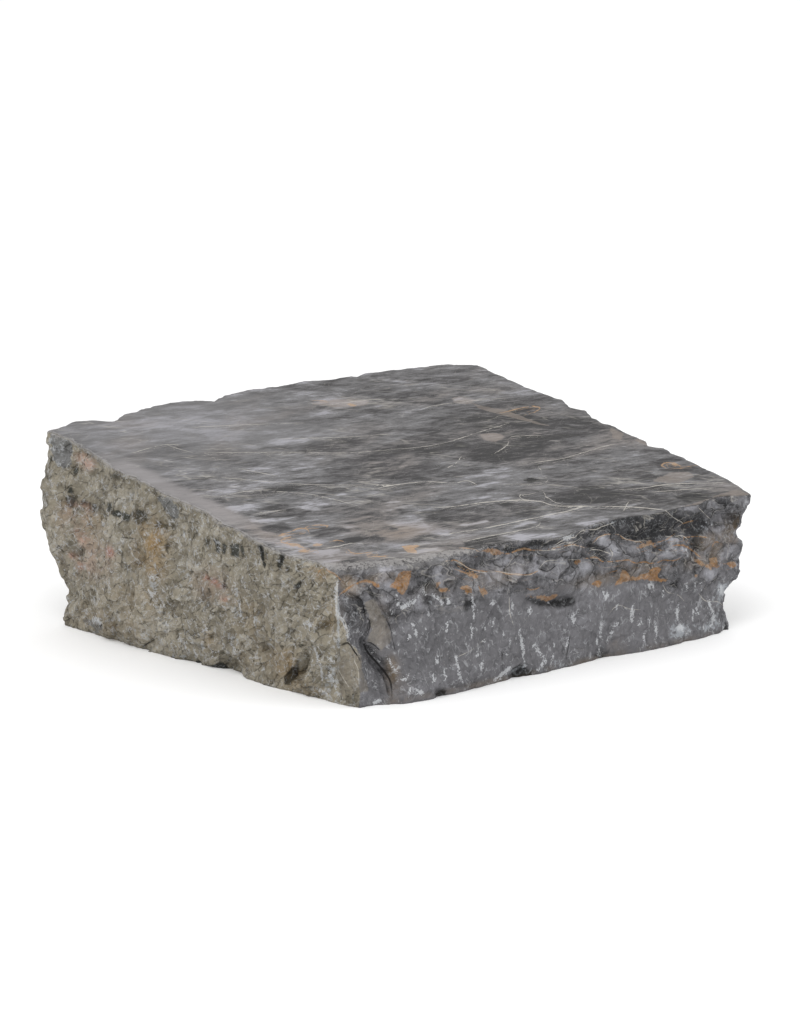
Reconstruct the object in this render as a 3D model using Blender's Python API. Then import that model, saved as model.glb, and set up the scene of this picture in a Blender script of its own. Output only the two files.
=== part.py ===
"""Marble block: one rough quarried block with a sawn, honed top.

The block rests on its flat base at z = 0. The honed top is a plane that rises
from the front (-Y) to the back (+Y), so the block is a wedge. The four sides
are broken, not sawn: each is lofted from the base outline to the top outline
and carries swells, flake scars, lobes, chips and notches.
Units are metres, +Z is up, and the origin is under the middle of the block.
"""
import math

import bmesh
import bpy
from mathutils import Vector, noise

# Overall size, measured over the roughest points of the sides.
LENGTH = 1.030
WIDTH = 0.920

# The honed top: its height above the origin and its rise per metre along X and Y.
TOP_HEIGHT = 0.3100
TOP_RISE_X = 0.0234
TOP_RISE_Y = 0.1519

# Edge of the honed top, side by side and anticlockwise seen from above.
# Each list starts on its corner and ends just before the next one.
TOP_RIM = {
    "front": [
        (-0.473, -0.383), (-0.404, -0.401), (-0.332, -0.420), (-0.235, -0.422),
        (-0.186, -0.432), (-0.166, -0.426), (-0.111, -0.427), (-0.068, -0.444),
        (-0.028, -0.452), (0.021, -0.440), (0.081, -0.426), (0.138, -0.427),
        (0.217, -0.439), (0.323, -0.440), (0.398, -0.428),
    ],
    "right": [
        (0.459, -0.449), (0.484, -0.376), (0.489, -0.316), (0.492, -0.263),
        (0.488, -0.223), (0.495, -0.182), (0.480, -0.159), (0.494, -0.140),
        (0.496, -0.085), (0.503, -0.040), (0.496, -0.015), (0.502, 0.010),
        (0.515, 0.052), (0.505, 0.082), (0.518, 0.122), (0.512, 0.172),
        (0.509, 0.214), (0.513, 0.273),
    ],
    "back": [
        (0.512, 0.361), (0.458, 0.394), (0.278, 0.425), (0.247, 0.416),
        (0.185, 0.428), (0.138, 0.438), (0.071, 0.438), (0.016, 0.445),
        (-0.046, 0.443), (-0.100, 0.420), (-0.129, 0.443), (-0.186, 0.452),
        (-0.248, 0.446), (-0.297, 0.437), (-0.343, 0.413), (-0.372, 0.434),
        (-0.405, 0.446),
    ],
    "left": [
        (-0.486, 0.424), (-0.482, 0.367), (-0.484, 0.317), (-0.495, 0.263),
        (-0.507, 0.194), (-0.500, 0.090), (-0.508, 0.037), (-0.497, -0.055),
        (-0.511, -0.121), (-0.506, -0.169), (-0.514, -0.220), (-0.518, -0.280),
        (-0.495, -0.322),
    ],
}

# Edge of the base, in the same order.
BASE_RIM = {
    "front": [
        (-0.450, -0.416), (-0.418, -0.421), (-0.376, -0.446), (-0.325, -0.452),
        (-0.249, -0.442), (-0.145, -0.440), (-0.075, -0.444), (0.000, -0.438),
        (0.072, -0.433), (0.161, -0.440), (0.261, -0.446), (0.296, -0.438),
        (0.337, -0.442), (0.403, -0.434),
    ],
    "right": [
        (0.437, -0.422), (0.448, -0.350), (0.452, -0.262), (0.466, -0.150),
        (0.458, -0.020), (0.474, 0.105), (0.466, 0.210), (0.478, 0.310),
    ],
    "back": [
        (0.458, 0.372), (0.372, 0.392), (0.250, 0.386), (0.120, 0.408),
        (-0.020, 0.402), (-0.160, 0.419), (-0.300, 0.408), (-0.405, 0.422),
    ],
    "left": [
        (-0.468, 0.406), (-0.467, 0.325), (-0.474, 0.200), (-0.471, 0.078),
        (-0.466, -0.033), (-0.455, -0.064), (-0.476, -0.129), (-0.479, -0.193),
        (-0.468, -0.248), (-0.468, -0.317), (-0.463, -0.379),
    ],
}

SIDES = ("front", "right", "back", "left")

# Facets: columns along each side and rows from base to top.
COLUMNS = {"front": 60, "right": 52, "back": 58, "left": 52}
ROWS = 18
ROW_CROWDING = 0.35  # 0 spaces the rows evenly, 1 crowds them towards both rims
SMOOTHING = 7        # columns each way over which the middle of a side is evened out

# The arris: how far the sharp rim is crushed back, at the top and at the base.
TOP_ARRIS = 0.003
BASE_ARRIS = 0.003

# Relief of the broken sides: sizes and heights in metres.
SWELL_SIZE, SWELL_HEIGHT = 0.34, 0.020
SCAR_SIZE, SCAR_DEPTH = 0.105, 0.013
SCAR_RIM, SCAR_MEAN = 0.72, 0.46  # a scar's radius in cells, and its mean depth as a share
FLAKE_SIZE, FLAKE_DEPTH = 0.046, 0.005
RIM_REACH = 0.075    # a rim's own notches run this far down or up the side
RIM_FADE = 0.030     # the relief fades over this height towards each rim
RIM_SHARE = 0.25     # and keeps this share of its depth on the rim itself
RIM_CHIP_SIZE, RIM_CHIP_DEPTH = 0.028, 0.004

# Flake grain: the scars are drawn out along this slope, up towards the front.
GRAIN = Vector((0.35, -0.75, 0.56)).normalized()
GRAIN_STRETCH = 0.45

# Forms of their own: (x, y, z), outward height, then the radii along the side
# and up the side, and the slope of the form's long axis in degrees.
FORMS = [
    # The back left corner bulges at two thirds of its height and is undercut below.
    ((-0.470, 0.415, 0.215), 0.022, 0.110, 0.090, 0),
    ((-0.465, 0.405, 0.060), -0.005, 0.090, 0.030, 0),
    # Slanted ledges at the top of the same corner.
    ((-0.480, 0.375, 0.318), -0.012, 0.012, 0.045, -20),
    ((-0.480, 0.345, 0.322), -0.009, 0.010, 0.038, -20),
    # Deep pocket low on the left side, leaning forwards.
    ((-0.475, -0.275, 0.043), -0.032, 0.014, 0.033, -40),
    # Bites out of the left side's foot.
    ((-0.462, -0.084, 0.010), -0.022, 0.036, 0.017, 0),
    ((-0.470, 0.034, 0.004), -0.013, 0.030, 0.011, 0),
    ((-0.470, 0.230, 0.002), -0.010, 0.024, 0.010, 0),
    # Broad smooth flake scars on the left side.
    ((-0.490, 0.035, 0.175), -0.010, 0.060, 0.045, 35),
    ((-0.480, -0.165, 0.055), -0.011, 0.034, 0.030, 20),
    ((-0.485, -0.370, 0.150), -0.012, 0.034, 0.030, 30),
    ((-0.490, -0.160, 0.245), 0.010, 0.026, 0.022, 0),
    # Front left corner: a slab has split off along a curved crack.
    ((-0.445, -0.405, 0.150), 0.012, 0.034, 0.060, 0),
    ((-0.420, -0.430, 0.072), -0.014, 0.013, 0.070, 38),
    ((-0.462, -0.405, 0.050), 0.009, 0.026, 0.040, 0),
    # Flake scar that leaves a smooth slab under the front rim.
    ((-0.180, -0.430, 0.218), -0.014, 0.080, 0.020, -4),
    # Pocket beside it, and the dark lens below the middle of the front.
    ((-0.055, -0.445, 0.212), -0.016, 0.034, 0.017, 0),
    ((-0.015, -0.435, 0.124), -0.013, 0.050, 0.016, -8),
    # Recess that runs under the right half of the front rim.
    ((0.120, -0.430, 0.205), -0.010, 0.070, 0.019, 6),
    ((0.240, -0.438, 0.207), -0.015, 0.085, 0.022, 0),
    ((0.370, -0.435, 0.211), -0.017, 0.085, 0.022, 0),
    # Rounded lobes below that recess.
    ((0.000, -0.438, 0.172), 0.012, 0.040, 0.024, 0),
    ((0.075, -0.432, 0.185), 0.010, 0.034, 0.020, 0),
    ((0.165, -0.430, 0.172), 0.009, 0.034, 0.024, 0),
    ((0.268, -0.436, 0.186), 0.019, 0.040, 0.025, -10),
    ((0.365, -0.430, 0.185), 0.012, 0.036, 0.022, 0),
    ((0.340, -0.430, 0.125), 0.009, 0.060, 0.028, 0),
    # The front right corner is eaten away at its foot and in its middle.
    ((0.438, -0.420, 0.060), -0.010, 0.045, 0.024, 0),
    ((0.445, -0.430, 0.182), -0.009, 0.030, 0.018, 0),
    # Crushed bites along the foot of the front.
    ((-0.095, -0.438, 0.002), -0.014, 0.032, 0.016, 0),
    ((-0.290, -0.445, 0.002), -0.010, 0.024, 0.010, 0),
    ((0.110, -0.425, 0.002), -0.010, 0.030, 0.010, 0),
    # Large scars and shelves on the back and the right side.
    ((0.480, -0.080, 0.190), -0.022, 0.130, 0.050, 12),
    ((0.485, 0.190, 0.120), 0.016, 0.120, 0.060, 0),
    ((0.490, 0.270, 0.280), -0.018, 0.080, 0.035, -15),
    ((0.450, -0.300, 0.080), -0.014, 0.070, 0.050, 0),
    ((0.280, 0.405, 0.230), -0.022, 0.120, 0.060, -12),
    ((-0.020, 0.415, 0.130), 0.017, 0.130, 0.070, 0),
    ((-0.230, 0.430, 0.270), -0.018, 0.090, 0.045, 18),
    ((0.120, 0.420, 0.310), -0.012, 0.070, 0.024, 0),
]

STONE_COLOR = (0.235, 0.222, 0.208, 1.0)
STONE_ROUGHNESS = 0.62


def clear_scene():
    """Remove whatever objects the file holds."""
    for existing in list(bpy.data.objects):
        bpy.data.objects.remove(existing, do_unlink=True)


def top_height(x, y):
    """Height of the honed plane above the point (x, y)."""
    return TOP_HEIGHT + TOP_RISE_X * x + TOP_RISE_Y * y


def smooth_step(value, low, high):
    """0 below low, 1 above high, with a smooth rise between them."""
    t = min(1.0, max(0.0, (value - low) / (high - low)))
    return t * t * (3.0 - 2.0 * t)


def resample(points, count):
    """Cut a polyline into count equal lengths and give their starting points."""
    lengths = [(b - a).length for a, b in zip(points, points[1:])]
    step = sum(lengths) / count
    found, leg, passed = [], 0, 0.0
    for i in range(count):
        target = i * step
        while passed + lengths[leg] < target and leg < len(lengths) - 1:
            passed += lengths[leg]
            leg += 1
        found.append(points[leg].lerp(points[leg + 1], (target - passed) / lengths[leg]))
    return found


def outline(rim):
    """Every column's plan point on one rim, anticlockwise from the front left."""
    columns = []
    for side, following in zip(SIDES, SIDES[1:] + SIDES[:1]):
        points = [Vector(point) for point in rim[side]] + [Vector(rim[following][0])]
        columns += resample(points, COLUMNS[side])
    return columns


def smoothed(columns):
    """The outline with its notches evened out, side by side, with its corners kept."""
    even, start = [], 0
    for side in SIDES:
        count = COLUMNS[side]
        for i in range(count):
            reach = min(SMOOTHING, i, count - i)
            span = [columns[(start + i + k) % len(columns)] for k in range(-reach, reach + 1)]
            even.append(sum(span, Vector((0.0, 0.0))) / len(span))
        start += count
    return even


def outward_directions(base, top):
    """A level, outward unit vector for each column, smoothed round the corners."""
    middle = [a.lerp(b, 0.5) for a, b in zip(base, top)]
    reach = 3
    directions = []
    for i in range(len(middle)):
        chord = middle[(i + reach) % len(middle)] - middle[i - reach]
        directions.append(Vector((chord.y, -chord.x, 0.0)).normalized())
    return directions


def drawn_out(point):
    """The point squeezed along the grain, so noise read there is drawn out along it."""
    along = point.dot(GRAIN)
    return point - GRAIN * along * (1.0 - GRAIN_STRETCH)


def broken_relief(point, outward):
    """Height of the broken surface over the loft at a point, positive outwards."""
    swell = SWELL_HEIGHT * noise.noise(point / SWELL_SIZE + Vector((3.1, 7.7, 1.9)))
    nearest = noise.voronoi(point / SCAR_SIZE)[0]
    scar = SCAR_DEPTH * (SCAR_MEAN - max(0.0, 1.0 - (nearest[0] / SCAR_RIM) ** 2))
    # The upper right of the front is lobed: its cells stand proud instead.
    front = max(0.0, -outward.y) ** 2
    lobed = front * smooth_step(point.x, -0.02, 0.10) * smooth_step(point.z, 0.10, 0.15)
    relief = swell + scar * (1.0 - 1.6 * lobed)
    flake = noise.voronoi(drawn_out(point) / FLAKE_SIZE + Vector((5.0, 0.0, 2.0)))[0]
    smooth_front = 1.0 - 0.55 * front * (1.0 - smooth_step(point.z, 0.13, 0.17))
    relief += FLAKE_DEPTH * (min(flake[1] - flake[0], 0.6) - 0.3) * smooth_front
    return relief


def form_relief(point, outward):
    """Sum of the named forms at a point."""
    total = 0.0
    along = Vector((-outward.y, outward.x, 0.0))
    for centre, height, half_along, half_up, slope in FORMS:
        offset = point - Vector(centre)
        if offset.length > 3.0 * max(half_along, half_up):
            continue
        turn = math.radians(slope)
        u = offset.dot(along)
        w = offset.z
        across = u * math.cos(turn) + w * math.sin(turn)
        upward = w * math.cos(turn) - u * math.sin(turn)
        deep = offset.dot(outward) / (half_along + half_up)
        reach = (across / half_along) ** 2 + (upward / half_up) ** 2 + deep ** 2
        total += height * math.exp(-1.4 * reach ** 1.5)
    return total


def side_point(column, level, loft):
    """A point of the broken side: column round the block, level 0 at the base, 1 on top."""
    base, top, even_base, even_top, outward = loft[column]
    rise = top_height(top.x, top.y)
    below, above = level * rise, (1.0 - level) * rise
    plan = even_base.lerp(even_top, level)
    plan += (base - even_base) * (1.0 - smooth_step(below, 0.0, RIM_REACH))
    plan += (top - even_top) * (1.0 - smooth_step(above, 0.0, RIM_REACH))
    point = Vector((plan.x, plan.y, below))
    fade = RIM_SHARE + (1.0 - RIM_SHARE) * smooth_step(min(below, above), 0.0, RIM_FADE)
    relief = broken_relief(point, outward) * fade + form_relief(point, outward) * max(fade, 0.5)
    chip = noise.noise(point / RIM_CHIP_SIZE + Vector((1.3, 4.2, 8.8)))
    relief += RIM_CHIP_DEPTH * chip * (1.0 - smooth_step(above, 0.0, RIM_FADE))
    relief -= TOP_ARRIS * (1.0 - smooth_step(above, 0.0, 2.0 * TOP_ARRIS))
    relief -= BASE_ARRIS * (1.0 - smooth_step(below, 0.0, 2.0 * BASE_ARRIS))
    return point + outward * relief


def row_level(row):
    """Share of the height at which a row lies."""
    even = row / ROWS
    crowded = 0.5 - 0.5 * math.cos(math.pi * even)
    return even + (crowded - even) * ROW_CROWDING


def make_sides(mesh):
    """Wrap a flat grid round the block and pull it onto the broken sides."""
    base, top = outline(BASE_RIM), outline(TOP_RIM)
    even_base, even_top = smoothed(base), smoothed(top)
    outward = outward_directions(even_base, even_top)
    loft = list(zip(base, top, even_base, even_top, outward))
    columns = len(loft)
    bmesh.ops.create_grid(mesh, x_segments=columns, y_segments=ROWS, size=0.5)
    for vert in mesh.verts:
        column = round((vert.co.x + 0.5) * columns) % columns
        row = round((vert.co.y + 0.5) * ROWS)
        vert.co = side_point(column, row_level(row), loft)
    bmesh.ops.remove_doubles(mesh, verts=mesh.verts, dist=0.0001)


def fit_to_size(mesh):
    """Stretch the plan to LENGTH by WIDTH about the origin, by a per cent or so."""
    for axis, size in ((0, LENGTH), (1, WIDTH)):
        low = min(vert.co[axis] for vert in mesh.verts)
        high = max(vert.co[axis] for vert in mesh.verts)
        for vert in mesh.verts:
            vert.co[axis] = (vert.co[axis] - (low + high) / 2) * size / (high - low)


def close_flat_faces(mesh):
    """Set the rims exactly on their planes and fill the honed top and the base."""
    open_edges = [edge for edge in mesh.edges if edge.is_boundary]
    rim_verts = {vert for edge in open_edges for vert in edge.verts}
    for vert in rim_verts:
        is_top = vert.co.z > TOP_HEIGHT / 2
        vert.co.z = top_height(vert.co.x, vert.co.y) if is_top else 0.0
    bmesh.ops.holes_fill(mesh, edges=open_edges)
    caps = [face for face in mesh.faces if len(face.verts) > 4]
    bmesh.ops.triangulate(mesh, faces=caps, ngon_method="BEAUTY")


def stone_material():
    """Grey-brown marble, as one plain colour."""
    material = bpy.data.materials.new("marble")
    material.use_nodes = True
    shader = material.node_tree.nodes["Principled BSDF"]
    shader.inputs["Base Color"].default_value = STONE_COLOR
    shader.inputs["Roughness"].default_value = STONE_ROUGHNESS
    shader.inputs["Metallic"].default_value = 0.0
    return material


def make_block():
    """Build the block and put it in its collection."""
    mesh = bmesh.new()
    make_sides(mesh)
    fit_to_size(mesh)
    close_flat_faces(mesh)
    bmesh.ops.recalc_face_normals(mesh, faces=mesh.faces)
    data = bpy.data.meshes.new("marble_block")
    mesh.to_mesh(data)
    mesh.free()
    data.materials.append(stone_material())
    block = bpy.data.objects.new("marble_block", data)
    collection = bpy.data.collections.new("marble_block")
    bpy.context.scene.collection.children.link(collection)
    collection.objects.link(block)
    return block


clear_scene()
make_block()
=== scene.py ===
"""Looks of the marble block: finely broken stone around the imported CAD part.

One closed mesh stands for the CAD node. Its broken sides repeat the loft and the
forms of the CAD part and add the fine relief, and its honed top is the same plane.
Named veins, patches, smudges and bruises are laid on it as fields kept at the mesh
points, which the stone's nodes turn into crisp or soft markings.
"""
import math
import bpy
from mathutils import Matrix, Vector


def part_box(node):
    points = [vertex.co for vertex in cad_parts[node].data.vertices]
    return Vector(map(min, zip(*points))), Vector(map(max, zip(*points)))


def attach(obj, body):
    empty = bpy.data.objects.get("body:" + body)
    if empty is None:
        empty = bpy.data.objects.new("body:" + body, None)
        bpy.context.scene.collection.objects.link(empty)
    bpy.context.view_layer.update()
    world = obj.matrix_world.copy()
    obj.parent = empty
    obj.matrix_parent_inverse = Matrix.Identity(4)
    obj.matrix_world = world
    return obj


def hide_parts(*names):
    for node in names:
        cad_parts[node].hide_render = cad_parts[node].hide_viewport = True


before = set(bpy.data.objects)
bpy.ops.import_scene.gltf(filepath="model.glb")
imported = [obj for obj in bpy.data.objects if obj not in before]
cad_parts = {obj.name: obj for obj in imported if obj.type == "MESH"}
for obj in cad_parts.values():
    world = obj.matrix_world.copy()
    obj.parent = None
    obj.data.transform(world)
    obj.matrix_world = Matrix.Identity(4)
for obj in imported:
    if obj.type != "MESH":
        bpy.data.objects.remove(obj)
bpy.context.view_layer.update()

from types import SimpleNamespace

import bpy
import numpy as np
from mathutils import Vector, noise
from mathutils.geometry import delaunay_2d_cdt

# The honed top: its height above the origin and its rise per metre along X and Y.
TOP_HEIGHT = 0.3100
TOP_RISE_X = 0.0234
TOP_RISE_Y = 0.1519

# Edge of the honed top and of the base in millimetres, side by side and
# anticlockwise seen from above. Each list starts on its corner.
TOP_RIM = {
    "front": [
        (-473, -383), (-404, -401), (-332, -420), (-235, -422), (-186, -432),
        (-166, -426), (-111, -427), (-68, -444), (-28, -452), (21, -440),
        (81, -426), (138, -427), (217, -439), (323, -440), (398, -428),
    ],
    "right": [
        (459, -449), (484, -376), (489, -316), (492, -263), (488, -223),
        (495, -182), (480, -159), (494, -140), (496, -85), (503, -40),
        (496, -15), (502, 10), (515, 52), (505, 82), (518, 122), (512, 172),
        (509, 214), (513, 273),
    ],
    "back": [
        (512, 361), (458, 394), (278, 425), (247, 416), (185, 428), (138, 438),
        (71, 438), (16, 445), (-46, 443), (-100, 420), (-129, 443),
        (-186, 452), (-248, 446), (-297, 437), (-343, 413), (-372, 434),
        (-405, 446),
    ],
    "left": [
        (-486, 424), (-482, 367), (-484, 317), (-495, 263), (-507, 194),
        (-500, 90), (-508, 37), (-497, -55), (-511, -121), (-506, -169),
        (-514, -220), (-518, -280), (-495, -322),
    ],
}
BASE_RIM = {
    "front": [
        (-450, -416), (-418, -421), (-376, -446), (-325, -452), (-249, -442),
        (-145, -440), (-75, -444), (0, -438), (72, -433), (161, -440),
        (261, -446), (296, -438), (337, -442), (403, -434),
    ],
    "right": [
        (437, -422), (448, -350), (452, -262), (466, -150), (458, -20),
        (474, 105), (466, 210), (478, 310),
    ],
    "back": [
        (458, 372), (372, 392), (250, 386), (120, 408), (-20, 402),
        (-160, 419), (-300, 408), (-405, 422),
    ],
    "left": [
        (-468, 406), (-467, 325), (-474, 200), (-471, 78), (-466, -33),
        (-455, -64), (-476, -129), (-479, -193), (-468, -248), (-468, -317),
        (-463, -379),
    ],
}
SIDES = ("front", "right", "back", "left")

# Mesh: columns along each side, rows from base to top, and the honed top's spacing.
COLUMNS = {"front": 300, "right": 190, "back": 200, "left": 270}
ROWS = 74
ROW_CROWDING = 0.35
SMOOTHING = 0.117    # share of a side over which its middle is evened out, each way
TOP_SPACING, TOP_CLEARANCE = 0.0078, 0.0045
BASE_SPACING, BASE_CLEARANCE = 0.030, 0.020
WORN_RADIUS = 0.012   # how round the worn rim by the front left corner is

# The flat map that materials are baked to: its scale, the gaps in it, the room and the
# height of each side's strip, and the corner of the plan in it, in metres.
MAP_SCALE, MAP_GAP, MAP_STRIP, MAP_TALL = 0.46, 0.01, 0.20, 0.16
MAP_CORNER = (0.52, 0.47)

# Relief shared with the CAD part: sizes and heights in metres.
SWELL_SIZE, SWELL_HEIGHT = 0.34, 0.020
SCAR_SIZE, SCAR_DEPTH = 0.105, 0.013
SCAR_RIM, SCAR_MEAN = 0.72, 0.46
FLAKE_SIZE, FLAKE_DEPTH = 0.046, 0.005
RIM_REACH = 0.075
RIM_FADE = 0.030
RIM_SHARE = 0.25
RIM_CHIP_SIZE, RIM_CHIP_DEPTH = 0.028, 0.004
GRAIN = np.array((0.3503, -0.7506, 0.5604))
GRAIN_STRETCH = 0.45

# Fine relief of the scene alone, in metres: facets as (size, tilt, shift), lobes on the
# upper front, round pits away from it, and grit.
GRAINED_FACETS = ((0.042, 0.15, (1.0, 2.0, 3.0)), (0.019, 0.13, (4.0, 1.0, 7.0)))
EVEN_FACET = (0.0095, 0.18, (2.0, 8.0, 5.0))
SLAB_FACET = (0.085, 0.05, (3.0, 3.0, 3.0))
LOBE_SIZE, LOBE_HEIGHT, LOBE_EDGE = 0.030, 0.0045, 0.0018
PIT_SPACING, PIT_SHARE, PIT_DEPTH = 0.034, 0.17, 0.0035
GRIT_SIZE, GRIT_HEIGHT = 0.006, 0.0007
DENT_DEPTH = 0.0035                                # how deep a drawn dark mark is
FINE_AT_RIM, FINE_REACH = 0.35, 0.018              # how weak it is at the rim, and how far in
SHOULDER_LEAST, SHOULDER_MORE = 0.0022, 0.0050     # radius of the chipped upper edge
FOOT_LEAST, FOOT_MORE = 0.0012, 0.0060             # radius of the chipped lower edge

# Forms of their own: (x, y, z), outward height, then the radii along the side
# and up the side, and the slope of the form's long axis in degrees.
FORMS = [
    ((-0.470, 0.415, 0.215), 0.022, 0.110, 0.090, 0),
    ((-0.465, 0.405, 0.060), -0.005, 0.090, 0.030, 0),
    ((-0.480, 0.375, 0.318), -0.012, 0.012, 0.045, -20),
    ((-0.480, 0.345, 0.322), -0.009, 0.010, 0.038, -20),
    ((-0.475, -0.275, 0.043), -0.032, 0.014, 0.033, -40),
    ((-0.462, -0.084, 0.010), -0.022, 0.036, 0.017, 0),
    ((-0.470, 0.034, 0.004), -0.013, 0.030, 0.011, 0),
    ((-0.470, 0.230, 0.002), -0.010, 0.024, 0.010, 0),
    ((-0.490, 0.035, 0.175), -0.010, 0.060, 0.045, 35),
    ((-0.480, -0.165, 0.055), -0.011, 0.034, 0.030, 20),
    ((-0.485, -0.370, 0.150), -0.012, 0.034, 0.030, 30),
    ((-0.490, -0.160, 0.245), 0.010, 0.026, 0.022, 0),
    ((-0.445, -0.405, 0.150), 0.012, 0.034, 0.060, 0),
    ((-0.420, -0.430, 0.072), -0.014, 0.013, 0.070, 38),
    ((-0.462, -0.405, 0.050), 0.009, 0.026, 0.040, 0),
    ((-0.180, -0.430, 0.218), -0.014, 0.080, 0.020, -4),
    ((-0.055, -0.445, 0.212), -0.016, 0.034, 0.017, 0),
    ((-0.015, -0.435, 0.124), -0.013, 0.050, 0.016, -8),
    ((0.120, -0.430, 0.205), -0.010, 0.070, 0.019, 6),
    ((0.240, -0.438, 0.207), -0.015, 0.085, 0.022, 0),
    ((0.370, -0.435, 0.211), -0.017, 0.085, 0.022, 0),
    ((0.000, -0.438, 0.172), 0.012, 0.040, 0.024, 0),
    ((0.075, -0.432, 0.185), 0.010, 0.034, 0.020, 0),
    ((0.165, -0.430, 0.172), 0.009, 0.034, 0.024, 0),
    ((0.268, -0.436, 0.186), 0.019, 0.040, 0.025, -10),
    ((0.365, -0.430, 0.185), 0.012, 0.036, 0.022, 0),
    ((0.340, -0.430, 0.125), 0.009, 0.060, 0.028, 0),
    ((0.438, -0.420, 0.060), -0.010, 0.045, 0.024, 0),
    ((0.445, -0.430, 0.182), -0.009, 0.030, 0.018, 0),
    ((-0.095, -0.438, 0.002), -0.014, 0.032, 0.016, 0),
    ((-0.290, -0.445, 0.002), -0.010, 0.024, 0.010, 0),
    ((0.110, -0.425, 0.002), -0.010, 0.030, 0.010, 0),
    ((0.480, -0.080, 0.190), -0.022, 0.130, 0.050, 12),
    ((0.485, 0.190, 0.120), 0.016, 0.120, 0.060, 0),
    ((0.490, 0.270, 0.280), -0.018, 0.080, 0.035, -15),
    ((0.450, -0.300, 0.080), -0.014, 0.070, 0.050, 0),
    ((0.280, 0.405, 0.230), -0.022, 0.120, 0.060, -12),
    ((-0.020, 0.415, 0.130), 0.017, 0.130, 0.070, 0),
    ((-0.230, 0.430, 0.270), -0.018, 0.090, 0.045, 18),
    ((0.120, 0.420, 0.310), -0.012, 0.070, 0.024, 0),
]

# ---------------------------------------------------------------- markings
# Places are millimetres on a face: (x, y) on the top, (x, z) on the front and
# (-y, z) on the left, so a side's first number runs rightwards as it is seen.

# Where the drawing boards are, the place that the drawings are carried on from, and
# how far the drawing of the top is moved.
FRONT_BOARD, LEFT_BOARD = -0.435, -0.490
EYE = (-5.266, -6.071, 1.921)
TOP_SHIFT = (0.0049, 0.0057)

# How far round a vein its distance is kept and where its width starts to fade, how far
# the step beside a crack reaches, and how far the crushed edge of the top reaches.
VEIN_MARGIN, VEIN_FADE = 0.011, 0.0075
STEP_REACH = 0.034
CRUSH_REACH = 0.009
# How far round an outline its distance is kept.
PATCH_MARGIN = 0.012
# Veins of the top run broad along the bedding and thin across it.
BEDDING = np.array((0.756, -0.655))
ACROSS_BEDDING, ALONG_BEDDING = 0.40, 1.60

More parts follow.
